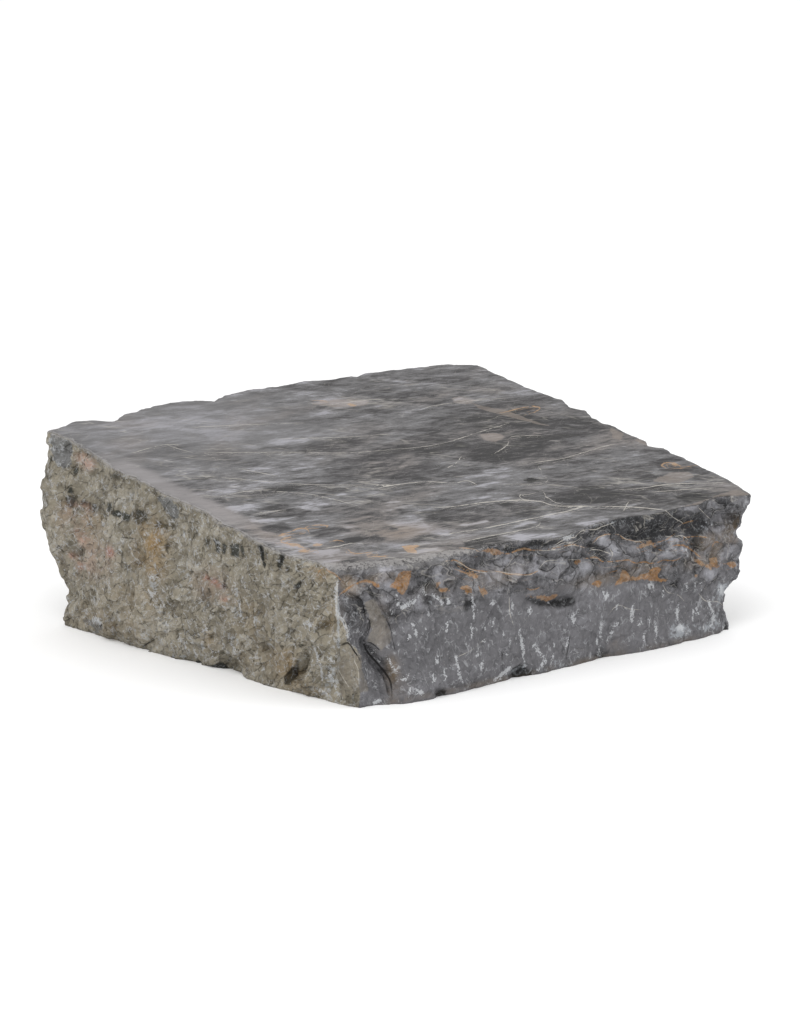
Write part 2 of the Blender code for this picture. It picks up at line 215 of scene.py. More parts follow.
# Light veins, in layers that never cross inside one layer: (width, points).
LIGHT_VEINS = {
    "top": (
        [
            (2.2, [(-150, -194), (-87, -227), (-20, -238), (47, -257), (82, -284), (89, -311),
                   (136, -339), (209, -381), (245, -412), (260, -432)]),
            (1.5, [(-153, -91), (-85, -94), (-33, -107), (8, -134), (38, -137), (39, -165)]),
            (1.2, [(43, 54), (117, 41), (199, 51), (248, 60), (342, 74)]),
            (1.3, [(180, -49), (241, -21), (278, 11), (334, -9)]),
            (1.1, [(191, -113), (281, -126), (388, -113), (433, -110)]),
            (1.5, [(252, -300), (303, -318), (364, -325), (461, -367)]),
            (0.9, [(-311, 209), (-148, 132), (-61, 82), (39, 56)]),
            (0.9, [(-381, 106), (-330, 62), (-274, 10)]),
            (1.0, [(-270, 4), (-198, -41), (-120, -80), (-92, -96)]),
            (1.1, [(-413, 5), (-353, 3), (-297, -32), (-257, -75), (-230, -148)]),
            (0.8, [(-332, 262), (-316, 214), (-291, 156)]),
            (0.8, [(69, 314), (175, 300), (232, 278)]),
            (0.9, [(215, 207), (285, 216), (431, 188)]),
            (1.8, [(-198, -331), (-93, -341), (-17, -342), (78, -344), (133, -342)]),
            (1.2, [(-419, -92), (-398, -96), (-364, -101)]),
        ],
        [
            (1.4, [(-204, -374), (-112, -376), (-19, -379), (9, -363)]),
            (1.5, [(52, -66), (88, -52), (121, -28)]),
            (0.9, [(78, -228), (68, -242), (62, -259), (67, -265)]),
            (0.7, [(71, -241), (96, -245), (127, -241)]),
            (0.8, [(127, -241), (114, -262), (105, -271), (109, -276), (105, -289), (104, -304),
                   (109, -314)]),
            (0.7, [(215, -132), (204, -147), (201, -156), (184, -176), (180, -194), (174, -203),
                   (158, -214)]),
            (0.6, [(79, -180), (121, -200), (155, -219)]),
            (1.2, [(184, -392), (210, -372), (234, -354)]),
            (1.0, [(301, -341), (370, -361), (430, -383)]),
            (1.2, [(-424, -285), (-393, -289), (-367, -288), (-342, -301)]),
            (1.2, [(-298, 111), (-258, 43)]),
            (1.2, [(-418, 263), (-338, 272), (-310, 260)]),
            (2.4, [(0, -462), (20, -447), (50, -439), (100, -433), (160, -428),
                   (215, -436), (262, -440)]),
            (0.8, [(-240, 330), (-120, 290), (-20, 250)]),
            (0.8, [(-120, 200), (0, 150), (80, 130)]),
        ],
    ),
    "front": (
        [
            (1.0, [(240, 262), (250, 250), (265, 237), (280, 228), (290, 222), (275, 215)]),
            (1.6, [(-22, 227), (-10, 231), (8, 235), (26, 234), (35, 241), (53, 244), (74, 241),
                   (92, 244), (113, 246), (135, 249)]),
            (1.0, [(56, 217), (74, 218), (83, 226), (98, 227), (129, 225), (150, 213),
                   (170, 206), (200, 203)]),
            (1.5, [(62, 206), (83, 203), (111, 192)]),
            (0.8, [(-293, 242), (-279, 237), (-256, 232), (-239, 224), (-219, 212), (-190, 202),
                   (-158, 199), (-111, 187), (-81, 182), (-63, 188), (-43, 201), (-10, 198),
                   (32, 193), (68, 190), (93, 184), (105, 178)]),
            (0.7, [(100, 75), (130, 95), (160, 84), (190, 78)]),
            (0.7, [(-250, 62), (-215, 70), (-180, 88)]),
            (0.7, [(240, 120), (255, 100), (280, 92), (300, 75)]),
            (0.7, [(330, 90), (350, 70), (380, 64), (400, 50)]),
            (0.8, [(-483, 104), (-482, 90), (-475, 76), (-474, 44)]),
            (0.8, [(-521, 88), (-509, 68), (-492, 45)]),
            (2.6, [(-519, 244), (-521, 218), (-523, 185), (-518, 176), (-506, 167),
                   (-501, 156), (-499, 146), (-497, 132), (-488, 116), (-474, 103)]),
        ],
        [
            (2.2, [(-255, 264), (-245, 262), (-233, 253), (-228, 248), (-204, 243)]),
            (1.2, [(-81, 227), (-52, 221), (-28, 219), (-10, 217), (11, 221), (38, 216),
                   (50, 211)]),
            (1.2, [(-10, 240), (14, 241), (30, 247), (60, 251), (100, 251)]),
            (0.9, [(-30, 222), (0, 228), (24, 226), (44, 233)]),
            (0.8, [(330, 245), (345, 232), (360, 220)]),
            (1.0, [(-130, 150), (-128, 120), (-120, 100)]),
            (1.0, [(110, 200), (118, 190), (112, 180), (124, 170)]),
            (1.0, [(240, 206), (262, 201), (290, 199), (304, 190)]),
        ],
    ),
    "left": (
        [
            (1.0, [(250, 135), (268, 139), (284, 136)]),
        ],
        [],
    ),
}

# Ochre and tan veins: (width, points).
OCHRE_VEINS = {
    "top": [
        (4.2, [(-454, -198), (-426, -195), (-403, -188), (-389, -189)]),
        (3.6, [(-389, -189), (-371, -186), (-360, -190), (-344, -200), (-351, -206),
               (-364, -207), (-374, -201)]),
        (3.6, [(-389, -189), (-390, -201), (-395, -208)]),
        (4.2, [(-472, -223), (-453, -215), (-437, -214), (-421, -210), (-407, -211)]),
        (5.0, [(-472, -229), (-462, -241), (-453, -249), (-457, -259), (-453, -267)]),
        (3.6, [(-473, -281), (-461, -279), (-455, -287), (-447, -286)]),
        (3.2, [(-387, -265), (-377, -264), (-374, -272)]),
        (3.2, [(-393, -314), (-394, -326), (-383, -334), (-365, -339)]),
        (3.2, [(-376, -353), (-363, -363), (-351, -364)]),
        (2.6, [(-206, -398), (-198, -404), (-190, -414)]),
        (2.6, [(80, 345), (100, 330)]),
        (3.6, [(361, 125), (406, 129), (439, 127), (446, 113), (421, 100), (396, 96)]),
        (3.6, [(421, -255), (425, -241), (445, -234), (453, -247), (451, -271), (435, -266)]),
        (3.0, [(461, -268), (475, -271), (485, -272)]),
    ],
    "front": [
        (5.0, [(-512, 214), (-500, 219), (-480, 226), (-458, 228), (-446, 224), (-434, 219)]),
        (1.8, [(-276, 236), (-256, 233), (-244, 227), (-224, 215), (-202, 207), (-175, 202)]),
        (2.6, [(-256, 218), (-244, 213), (-231, 207), (-205, 199)]),
        (2.2, [(-163, 201), (-131, 191), (-99, 185), (-80, 183), (-60, 187)]),
        (3.0, [(-231, 248), (-212, 244), (-192, 241), (-180, 240)]),
        (2.8, [(-150, 231), (-128, 228), (-99, 231), (-83, 227), (-51, 221)]),
        (1.8, [(-40, 222), (0, 222), (19, 222), (35, 217), (50, 212)]),
        (2.4, [(50, 192), (61, 191), (77, 190), (96, 179), (122, 177), (138, 175)]),
        (2.2, [(138, 175), (154, 174), (173, 167), (199, 164), (218, 158), (244, 161),
               (266, 156), (288, 158)]),
        (3.6, [(178, 192), (191, 193), (205, 196), (224, 195)]),
        (2.2, [(224, 195), (250, 198), (266, 203)]),
        (2.6, [(216, 194), (221, 187), (237, 180)]),
        (3.4, [(268, 184), (285, 182), (301, 177), (317, 167), (334, 154)]),
        (1.8, [(69, 217), (80, 225), (96, 228), (128, 225), (144, 215), (167, 207),
               (192, 201)]),
        (1.4, [(288, 196), (321, 193), (353, 187)]),
        (1.6, [(282, 220), (304, 222), (321, 222)]),
        (2.0, [(108, 157), (118, 159), (130, 159)]),
        (2.0, [(366, 168), (374, 176), (384, 172)]),
        (2.0, [(-190, 160), (-196, 170), (-202, 180)]),
        (2.0, [(-88, 158), (-70, 154), (-60, 156)]),
        (2.2, [(388, 135), (402, 130), (418, 132)]),
    ],
    "left": [
        (3.0, [(369, 243), (380, 238), (393, 236), (407, 230)]),
        (2.4, [(346, 228), (352, 236), (360, 240)]),
        (2.0, [(428, 222), (436, 228), (446, 232)]),
    ],
}

# Two patches of the top that are both tinted and shaded.
PINK_PATCH = [(329, 235), (353, 236), (368, 202), (342, 196), (325, 200), (316, 213)]
RIGHT_PATCH = [(372, -288), (416, -278), (449, -294), (430, -318), (392, -331),
               (360, -315), (343, -298)]

# Ochre and tan patches: outlines of (along, up or back).
OCHRE_PATCHES = {
    "top": [
        [(-298, -341), (-277, -343), (-263, -353), (-284, -360), (-294, -381), (-299, -377),
         (-308, -374), (-301, -360)],
        [(-438, -264), (-419, -260), (-404, -267), (-420, -272), (-434, -286), (-427, -273)],
        [(-475, -276), (-461, -273), (-453, -284), (-445, -288), (-470, -288)],
        [(-471, -232), (-457, -238), (-449, -248), (-455, -266), (-463, -250)],
        [(-464, -217), (-445, -211), (-432, -213), (-449, -220)],
        [(-421, -396), (-402, -391), (-388, -381), (-383, -391), (-402, -398)],
        [(-386, -352), (-372, -357), (-358, -364), (-374, -362)],
        [(-196, -408), (-184, -423), (-172, -427), (-155, -446), (-166, -460), (-178, -450),
         (-191, -429)],
        [(-277, -428), (-262, -432), (-266, -448)],
        [(441, -262), (446, -243), (456, -240), (458, -250)],
        [(122, 300), (130, 300), (136, 284), (120, 284)],
        [(436, 132), (446, 128), (450, 114), (438, 120)],
    ],
    "front": [
        [(-404, 214), (-389, 222), (-381, 231), (-356, 231), (-359, 212), (-369, 191),
         (-377, 188), (-388, 201)],
        [(-446, 224), (-428, 220), (-425, 212), (-436, 211)],
        [(-300, 202), (-288, 199), (-295, 190), (-279, 188), (-264, 179), (-288, 181),
         (-299, 189)],
        [(-246, 185), (-228, 184), (-217, 178), (-218, 169), (-228, 168), (-234, 174)],
        [(-200, 178), (-190, 177), (-177, 161), (-189, 161), (-201, 171)],
        [(-232, 207), (-218, 205), (-201, 202), (-203, 195), (-221, 198)],
        [(-195, 243), (-177, 243), (-164, 241), (-146, 234), (-150, 230), (-167, 231),
         (-184, 237)],
        [(-101, 151), (-74, 143), (-51, 140), (-14, 138), (-22, 131), (-38, 128),
         (-54, 134), (-80, 141)],
        [(23, 190), (34, 192), (45, 190), (32, 183)],
        [(68, 144), (75, 150), (88, 150), (94, 143), (87, 140), (94, 136), (77, 136)],
        [(124, 138), (138, 146), (139, 159), (154, 151), (160, 144), (179, 141), (199, 144),
         (221, 151), (240, 147), (237, 142), (229, 138), (232, 132), (244, 127), (257, 124),
         (247, 121), (224, 125), (205, 131), (179, 135), (154, 137), (141, 134), (126, 133)],
        [(320, 147), (333, 149), (346, 142), (357, 139), (359, 147), (375, 149), (384, 143),
         (377, 137), (389, 129), (375, 125), (362, 126), (349, 134), (333, 137)],
        [(405, 130), (426, 133), (430, 126), (420, 120), (408, 124)],
        [(323, 121), (330, 122), (330, 116), (324, 116)],
        [(196, 198), (212, 199), (214, 194), (198, 193)],
    ],
}

# Taupe patches, outlined the same way.
TAUPE_PATCHES = {
    "top": [
        PINK_PATCH,
        [(345, 195), (376, 127), (381, 72), (391, 23), (373, 41), (354, 103), (335, 165)],
        [(233, 51), (261, 45), (274, 22), (253, 6), (229, 2), (221, 23)],
        [(490, -35), (489, -70), (453, -103), (450, -84)],
        [(62, 334), (128, 330), (178, 296), (152, 276), (94, 290)],
        [(492, -106), (498, -143), (477, -158), (476, -141), (482, -109)],
        RIGHT_PATCH,
        [(380, -414), (457, -405), (458, -438), (433, -450), (392, -436)],
        [(303, -422), (346, -420), (389, -418), (397, -431), (296, -450)],
    ],
    "front": [
        [(-460, 191), (-440, 197), (-426, 173), (-415, 160), (-401, 131), (-398, 117),
         (-406, 109), (-423, 101), (-435, 114), (-455, 122), (-448, 138), (-449, 158)],
        [(-513, 122), (-502, 123), (-480, 108), (-468, 100), (-464, 65), (-452, 43),
         (-452, 34), (-512, 34), (-517, 43), (-522, 79), (-520, 105)],
    ],
}

# Dark, crisp marks: crevices, pits, bites and shadowed slabs, made the same way.
DARK_MARKS = {
    "top": [
        [(147, -189, 9)],
        [(26, 116, 2), (30, 121, 3)],
        [(322, -386, 5), (345, -390, 5), (372, -396, 5), (385, -402, 4)],
        [(322, -378, 5), (332, -382, 5)],
        [(484, -160, 6)],
        [(497, -30, 5)],
    ],
    "front": [
        [(-88, 216), (-80, 219), (-72, 213), (-78, 202), (-86, 208)],
        [(-66, 205), (-58, 208), (-54, 200), (-62, 197)],
        [(-50, 196), (-40, 199), (-36, 192), (-48, 190)],
        [(-235, 150, 4), (-228, 158, 5), (-218, 152, 2)],
        [(-92, 134), (-54, 129), (-38, 126), (-10, 127), (24, 126), (27, 116), (4, 111),
         (-30, 119), (-60, 125)],
        [(-178, 243), (-152, 241), (-130, 238), (-105, 238), (-134, 232), (-158, 238)],
        [(-100, 239), (-64, 241), (-40, 237), (-30, 230), (-70, 231)],
        [(-455, 218), (-448, 214), (-439, 200), (-445, 198)],
        [(54, 212), (70, 214), (92, 206), (74, 204)],
        [(105, 190, 2), (112, 184, 3)],
        [(-118, 8, 7), (-100, 6, 10), (-82, 5, 6)],
        [(-298, 5, 5), (-284, 4, 6)],
        [(-362, 107, 3)],
        [(80, 12, 3), (92, 8, 4)],
    ],
    "left": [
        [(-236, 201, 2), (-228, 204, 2)],
        [(-272, 299, 2), (-262, 303, 2)],
        [(-112, 268, 2), (-104, 272, 2)],
        [(-75, 206, 3), (-62, 213, 3)],
        [(-86, 187, 2), (-72, 192, 3)],
        [(-192, 99, 2), (-176, 101, 2)],
        [(-82, 83, 4), (-72, 88, 3)],
        [(88, 160, 4), (96, 165, 3)],
        [(18, 212, 2), (28, 218, 2)],
        [(60, 112, 2), (63, 120, 2)],
        [(90, 202, 2), (102, 199, 3)],
        [(52, 62, 4), (58, 68, 3)],
        [(285, 195, 3), (296, 200, 3), (307, 209, 2)],
        [(298, 92, 2), (316, 98, 2)],
        [(226, 122, 3), (221, 106, 3), (219, 94, 2)],
        [(358, 188, 3)],
        [(-147, 10, 2), (-128, 20, 2), (-110, 31, 2)],
        [(258, 24, 5), (270, 34, 10), (284, 46, 11), (294, 62, 6)],
        [(68, 18, 5), (84, 22, 9), (102, 17, 5)],
        [(12, 8, 5), (22, 10, 4)],
        [(193, 253, 4), (198, 238, 5), (205, 218, 3)],
        [(248, 255, 5), (252, 240, 6), (246, 232, 3)],
    ],
}

# Drawn shades: (lightness in hundredths, soft edge in millimetres, relief in
# millimetres, outline). Light ones stand out of a broken side and dark ones lie back.
# Most are the stone's own light and dark patches. Some are painted light and shade: the
# light lobes of the upper front are partly painted light, the dark recess under the
# front rim is partly painted shadow, and the lens that faces down, the notch and the side
# turned away at the front's lower right, the pocket low on the left and the bites along
# the foot are painted shade.
SHADES = {
    "top": [
        (-95, 1, 0, [(134, -187), (139, -181), (149, -182), (161, -191), (157, -198), (143, -195)]),
        (32, 2, 0, PINK_PATCH),
        (14, 2, 0, RIGHT_PATCH),
        (30, 3, 0, [(-450, -42), (-415, -40), (-388, -43), (-346, -36), (-305, -38),
                    (-298, -45), (-325, -52), (-353, -57), (-391, -61), (-377, -66),
                    (-391, -76), (-426, -78), (-448, -74)]),
        (-26, 3, 0, [(-447, -81), (-398, -78), (-374, -74), (-339, -83), (-336, -97),
                     (-360, -92), (-391, -90), (-436, -92)]),
        (-28, 3, 0, [(-429, -104), (-391, -102), (-332, -107), (-325, -125), (-332, -138),
                     (-353, -142), (-395, -128), (-419, -119)]),
        (34, 2, 0, [(-455, -112), (-436, -118), (-419, -126), (-400, -134), (-360, -140),
                    (-350, -145), (-400, -141), (-436, -136), (-455, -133)]),
        (28, 4, 0, [(-332, -100), (-277, -99), (-270, -111), (-277, -125), (-312, -130),
                    (-329, -118)]),
        (-34, 3, 0, [(-459, -149), (-408, -149), (-402, -163), (-408, -183), (-450, -189),
                     (-462, -170)]),
        (22, 3, 0, [(-376, -160), (-360, -163), (-340, -166), (-352, -172), (-368, -170)]),
        (24, 3, 0, [(-232, -81), (-218, -80), (-203, -87), (-208, -93), (-225, -88)]),
        (24, 5, 0, [(-201, -152), (-166, -157), (-149, -163), (-152, -180), (-128, -183),
                    (-138, -204), (-138, -218), (-166, -228), (-173, -263), (-194, -298),
                    (-242, -298), (-246, -242), (-211, -228), (-173, -222), (-166, -197),
                    (-187, -180)]),
        (-28, 4, 0, [(-398, -208), (-353, -204), (-325, -215), (-325, -242), (-367, -244),
                     (-402, -235)]),
        (20, 2, 0, [(-436, -222), (-405, -221), (-403, -230), (-433, -232)]),
        (-26, 3, 0, [(-408, -270), (-374, -268), (-332, -270), (-336, -291), (-377, -287),
                     (-402, -282)]),
        (-22, 2, 0, [(-457, -268), (-436, -270), (-433, -279), (-452, -276)]),
        (28, 3, 0, [(-450, -291), (-422, -289), (-402, -301), (-408, -315), (-436, -317),
                    (-452, -305)]),
        (18, 3, 0, [(-471, -322), (-436, -320), (-402, -318), (-395, -335), (-440, -345),
                    (-470, -340)]),
        (-24, 4, 0, [(-263, -322), (-239, -312), (-208, -315), (-208, -336), (-256, -339)]),
        (26, 3, 0, [(-201, -322), (-187, -317), (-177, -329), (-180, -341), (-199, -341)]),
        (28, 2, 0, [(-142, -301), (-111, -308), (-73, -310), (-76, -317), (-118, -317)]),
        (28, 2, 0, [(-97, -261), (-80, -260), (-59, -267), (-76, -277), (-90, -270)]),
        (-14, 8, 0, [(-166, -225), (0, -228), (60, -290), (40, -330), (-140, -330),
                     (-170, -300)]),
        (-34, 4, 0, [(-187, -374), (-132, -374), (-104, -381), (-125, -398), (-104, -415),
                     (-166, -419), (-197, -405)]),
        (22, 4, 0, [(-298, -374), (-263, -367), (-239, -374), (-242, -391), (-277, -398),
                    (-298, -391)]),
        (22, 3, 0, [(-332, -402), (-298, -401), (-253, -404), (-256, -414), (-318, -414)]),
        (26, 4, 0, [(-107, -384), (-73, -388), (-55, -408), (-7, -410), (-7, -427),
                    (-48, -426), (-90, -421), (-100, -402)]),
        (18, 3, 0, [(-80, -357), (-55, -353), (0, -350), (0, -363), (-55, -367)]),
        (-20, 9, 0, [(150, -20), (215, -10), (300, 4), (330, -20), (280, -75), (200, -90),
                     (150, -85), (120, -60)]),
        (28, 3, 0, [(95, -107), (118, -104), (132, -112), (114, -119), (97, -116)]),
        (16, 5, 0, [(10, -166), (60, -163), (85, -172), (50, -183), (15, -180)]),
        (18, 4, 0, [(305, -59), (339, -57), (336, -66), (308, -66)]),
        (18, 5, 0, [(287, -204), (312, -197), (332, -208), (325, -218), (298, -215)]),
        (12, 9, 0, [(204, -208), (260, -205), (285, -225), (290, -262), (215, -262),
                    (195, -240)]),
        (-18, 4, 0, [(0, -252), (45, -268), (83, -296), (86, -306), (45, -305), (0, -335)]),
        (-24, 5, 0, [(110, -275), (240, -280), (250, -320), (200, -345), (150, -335),
                     (120, -312)]),
        (20, 5, 0, [(45, -336), (86, -343), (90, -363), (62, -367), (21, -350)]),
        (24, 4, 0, [(52, -398), (87, -384), (128, -395), (128, -412), (104, -422),
                    (59, -419)]),
        (18, 3, 0, [(208, -370), (249, -374), (246, -381), (208, -381)]),
        (-42, 4, 0, [(322, -388), (339, -376), (374, -379), (388, -400), (363, -415),
                     (325, -412)]),
        (18, 6, 0, [(374, -256), (402, -249), (415, -277), (374, -284)]),
        (-20, 6, 0, [(426, -218), (488, -215), (490, -239), (467, -235), (436, -237),
                     (412, -250), (419, -266), (436, -277), (405, -262)]),
        (24, 5, 0, [(-60, -2), (-35, -14), (-4, -18), (-20, -30), (-48, -32)]),
        (36, 3, 0, [(233, 51), (261, 45), (274, 22), (253, 6), (229, 2), (221, 23)]),
        (20, 4, 0, [(-350, -108), (-330, -112), (-322, -122), (-345, -124)]),
        (18, 5, 0, [(-450, 40), (-390, 42), (-366, 30), (-380, 8), (-430, 2), (-452, 14)]),
        (16, 5, 0, [(-300, 100), (-240, 96), (-214, 84), (-250, 74), (-304, 80)]),
        (14, 5, 0, [(-210, 200), (-130, 205), (-100, 190), (-140, 172), (-204, 180)]),
        (16, 5, 0, [(-440, 150), (-390, 158), (-350, 146), (-380, 128), (-436, 132)]),
        (-14, 6, 0, [(-440, 260), (-360, 268), (-300, 252), (-330, 226), (-430, 232)]),
        (-16, 6, 0, [(-140, 150), (-40, 160), (60, 148), (70, 118), (-30, 104), (-130, 116)]),
        (-14, 7, 0, [(-60, 60), (60, 70), (160, 52), (180, 12), (60, -6), (-40, 10)]),
        (-14, 6, 0, [(-330, -4), (-250, 10), (-200, -4), (-230, -34), (-300, -30)]),
        (14, 3, 0, [(62, 334), (128, 330), (178, 296), (152, 276), (94, 290)]),
        (-14, 6, 0, [(200, 300), (300, 310), (360, 280), (300, 250), (214, 262)]),
        (-16, 5, 0, [(320, 70), (400, 90), (420, 60), (380, 40), (330, 44)]),
    ],
    "front": [
        (-46, 2, -3, [(38, 238), (86, 244), (113, 250), (147, 254), (184, 256), (226, 258),
                      (256, 254), (300, 246), (340, 228), (352, 206), (335, 192),
                      (309, 196), (271, 203), (222, 199), (197, 199), (172, 206),
                      (147, 215), (128, 225), (101, 229), (81, 225), (62, 227), (38, 229)]),
        (-46, 3, -3, [(-178, 244), (-152, 243), (-105, 239), (-64, 242), (-40, 238),
                      (-10, 239), (-4, 231), (-34, 226), (-70, 230), (-105, 230),
                      (-134, 231), (-158, 238)]),
        (-24, 4, -2, [(-219, 240), (-181, 232), (-169, 224), (-187, 211), (-216, 215),
                      (-222, 229)]),
        (8, 5, 3, [(-219, 240), (-181, 232), (-129, 227), (-81, 222), (-72, 210), (-81, 191),
                   (-111, 188), (-158, 200), (-190, 205), (-216, 215)]),
        (-26, 4, -4, [(-461, 118), (-435, 107), (-429, 100), (-415, 84), (-395, 60),
                      (-389, 46), (-401, 41), (-418, 66), (-435, 85), (-452, 103)]),
        (-34, 5, -3, [(298, 196), (325, 192), (348, 186), (350, 164), (330, 158), (312, 176)]),
        (-34, 3, -3, [(58, 214), (80, 211), (109, 196), (109, 178), (92, 184), (70, 192)]),
        (-50, 3, -6, [(413, 222), (440, 224), (452, 206), (448, 190), (424, 192)]),
        (-60, 3, -4, [(402, 64), (418, 66), (430, 30), (426, -4), (402, -4)]),
        (-46, 3, -4, [(-92, 144), (-54, 133), (-38, 127), (0, 127), (29, 127), (26, 114),
                      (0, 109), (-35, 118), (-74, 129)]),
        (40, 4, 5, [(84, 222), (96, 228), (108, 222), (118, 206), (104, 202), (88, 208)]),
        (34, 4, 4, [(112, 202), (124, 208), (140, 202), (144, 190), (124, 186)]),
        (20, 6, 4, [(28, 180), (44, 188), (66, 184), (70, 168), (48, 160), (30, 166)]),
        (46, 3, 5, [(244, 198), (262, 200), (288, 198), (294, 192), (274, 188), (252, 190)]),
        (38, 3, 5, [(238, 184), (252, 188), (268, 184), (267, 160), (250, 164), (238, 174)]),
        (38, 2, 5, [(270, 180), (288, 182), (308, 170), (314, 161), (298, 155), (272, 158)]),
        (18, 6, 4, [(334, 182), (352, 180), (356, 162), (338, 160)]),
        (20, 5, 3, [(0, 218), (20, 219), (46, 210), (40, 200), (4, 202)]),
        (16, 5, 2, [(150, 160), (190, 158), (200, 146), (166, 145)]),
        (16, 6, 3, [(160, 134), (200, 129), (222, 124), (180, 112), (152, 120)]),
        (14, 5, 3, [(40, 148), (60, 152), (70, 136), (46, 132)]),
        (14, 5, 2, [(350, 122), (376, 124), (382, 106), (352, 104)]),
        (14, 5, 3, [(-160, 222), (-130, 222), (-110, 206), (-150, 204)]),
        (-40, 3, -3, [(-276, 230), (-250, 230), (-218, 212), (-196, 203), (-206, 200),
                      (-240, 214)]),
        (-46, 2, -2, [(-60, 193), (-48, 192), (-46, 186), (-58, 187)]),
        (26, 3, 2, [(-76, 214), (-66, 217), (-62, 209), (-72, 208)]),
        (-40, 3, -3, [(-236, 152), (-218, 160), (-216, 148), (-232, 138), (-238, 144)]),
        (4, 3, 2, [(-460, 191), (-440, 197), (-426, 173), (-415, 160), (-401, 131),
                    (-398, 117), (-406, 109), (-423, 101), (-435, 114), (-455, 122),
                    (-448, 138), (-449, 158)]),
        (-6, 3, 1, [(-513, 120), (-502, 121), (-480, 106), (-468, 98), (-464, 65),
                    (-452, 43), (-512, 38), (-520, 79)]),
        (-16, 3, 0, [(-500, 214), (-478, 204), (-466, 192), (-462, 165), (-462, 130),
                     (-452, 100), (-420, 62), (-404, 30), (-440, 20), (-466, 60),
                     (-474, 104), (-496, 130), (-500, 160), (-512, 180)]),
        (-16, 4, -1, [(-330, 212), (-320, 218), (-312, 212), (-320, 204)]),
        (-24, 3, -2, [(-348, 212), (-312, 206), (-298, 190), (-318, 196)]),
        (-60, 3, -6, [(-124, 20), (-104, 24), (-80, 12), (-80, -4), (-118, -4)]),
        (-44, 3, -4, [(-300, 12), (-284, 12), (-276, -4), (-302, -4)]),
        (-26, 4, -2, [(80, 24), (100, 26), (110, 10), (90, 8)]),
        (-24, 3, -2, [(262, 122), (284, 112), (280, 102), (262, 106)]),
        (18, 4, 0, [(386, 90), (404, 96), (424, 80), (410, 70), (392, 76)]),
        (22, 3, 2, [(276, 30), (292, 34), (298, 22), (284, 18)]),
    ],
    "left": [
        (30, 3, 1, [(-404, 352), (-362, 354), (-350, 338), (-350, 314), (-364, 306),
                    (-392, 310), (-402, 330)]),
        (30, 1, 2, [(-352, 350), (-348, 348), (-356, 322), (-366, 310), (-370, 314)]),
        (-44, 1, -2, [(-380, 346), (-377, 344), (-388, 322), (-392, 324)]),
        (26, 1, 2, [(-376, 340), (-372, 338), (-380, 314), (-386, 316)]),
        (-40, 1, -2, [(-398, 336), (-394, 336), (-400, 318), (-404, 320)]),
        (-70, 2, -3, [(-358, 359), (-353, 358), (-359, 345), (-364, 333), (-368, 336),
                      (-363, 347)]),
        (-30, 1, -1, [(-376, 352), (-372, 352), (-384, 330), (-388, 332)]),
        (-26, 1, -1, [(-392, 346), (-388, 346), (-396, 326), (-400, 330)]),
        (20, 2, 3, [(-322, 333), (-286, 336), (-283, 314), (-300, 309), (-316, 327)]),
        (-50, 3, -2, [(-345, 307), (-326, 311), (-326, 301), (-340, 294)]),
        (-60, 2, -2, [(-412, 320), (-404, 320), (-404, 308), (-414, 306)]),
        (-56, 2, -2, [(-357, 270), (-346, 271), (-342, 264), (-351, 259), (-359, 264)]),
        (-64, 3, -2, [(-366, 247), (-353, 250), (-340, 249), (-340, 240), (-349, 232),
                      (-357, 238)]),
        (-38, 3, -1, [(-322, 252), (-310, 253), (-301, 250), (-303, 244), (-313, 246),
                      (-322, 235)]),
        (-56, 2, -1, [(-297, 250), (-289, 250), (-289, 232), (-295, 235)]),
        (-60, 2, -1, [(-285, 250), (-274, 250), (-276, 241), (-283, 234)]),
        (-46, 3, -1, [(-241, 259), (-229, 261), (-227, 247), (-238, 247)]),
        (-80, 2, -2, [(-221, 250), (-200, 250), (-202, 240), (-214, 238), (-223, 243)]),
        (-62, 3, -2, [(-197, 249), (-173, 247), (-181, 235), (-194, 235)]),
        (-60, 3, -2, [(-157, 250), (-151, 259), (-136, 261), (-124, 259), (-127, 247),
                      (-139, 235), (-154, 238)]),
        (-66, 3, -2, [(-104, 241), (-90, 247), (-65, 247), (-66, 240), (-93, 237)]),
        (-30, 3, -1, [(-54, 250), (-42, 248), (-42, 241), (-52, 243)]),
        (-48, 2, -1, [(-24, 243), (-15, 243), (-18, 237)]),
        (-30, 3, -2, [(-232, 312), (-220, 317), (-199, 317), (-202, 305), (-229, 305)]),
        (-4, 5, 2, [(-81, 293), (-66, 299), (-39, 287), (-30, 266), (-48, 262), (-78, 277)]),
        (-50, 3, -2, [(66, 244), (78, 241), (84, 221), (72, 221)]),
        (-40, 3, -2, [(92, 241), (100, 241), (98, 221), (89, 221)]),
        (-26, 4, -1, [(40, 238), (56, 242), (54, 222), (42, 224)]),
        (-56, 3, -2, [(111, 239), (136, 244), (133, 224), (115, 221)]),
        (-46, 3, -2, [(140, 243), (150, 243), (149, 227), (141, 227)]),
        (-72, 2, -4, [(187, 254), (199, 253), (203, 230), (208, 215), (200, 218), (195, 239)]),
        (-76, 2, -4, [(242, 253), (255, 253), (258, 241), (249, 224), (242, 227), (245, 239)]),
        (-40, 2, -2, [(203, 242), (212, 242), (210, 234)]),
        (-34, 2, -1, [(261, 229), (272, 229), (268, 218), (261, 217)]),
        (-26, 4, -4, [(332, 126), (355, 146), (372, 152), (384, 149), (378, 138),
                      (358, 132)]),
        (-90, 3, -6, [(257, 19), (262, 40), (271, 51), (286, 54), (294, 48), (288, 37),
                      (271, 22)]),
        (-46, 2, -3, [(218, 90), (226, 104), (225, 124), (231, 112), (228, 100)]),
        (-60, 2, -3, [(285, 192), (298, 205), (306, 207), (300, 199)]),
        (-50, 2, -2, [(296, 92), (304, 97), (316, 99), (306, 93)]),
        (-56, 2, -2, [(88, 170), (98, 168), (95, 158), (89, 160)]),
        (-40, 2, -1, [(93, 205), (102, 204), (98, 199)]),
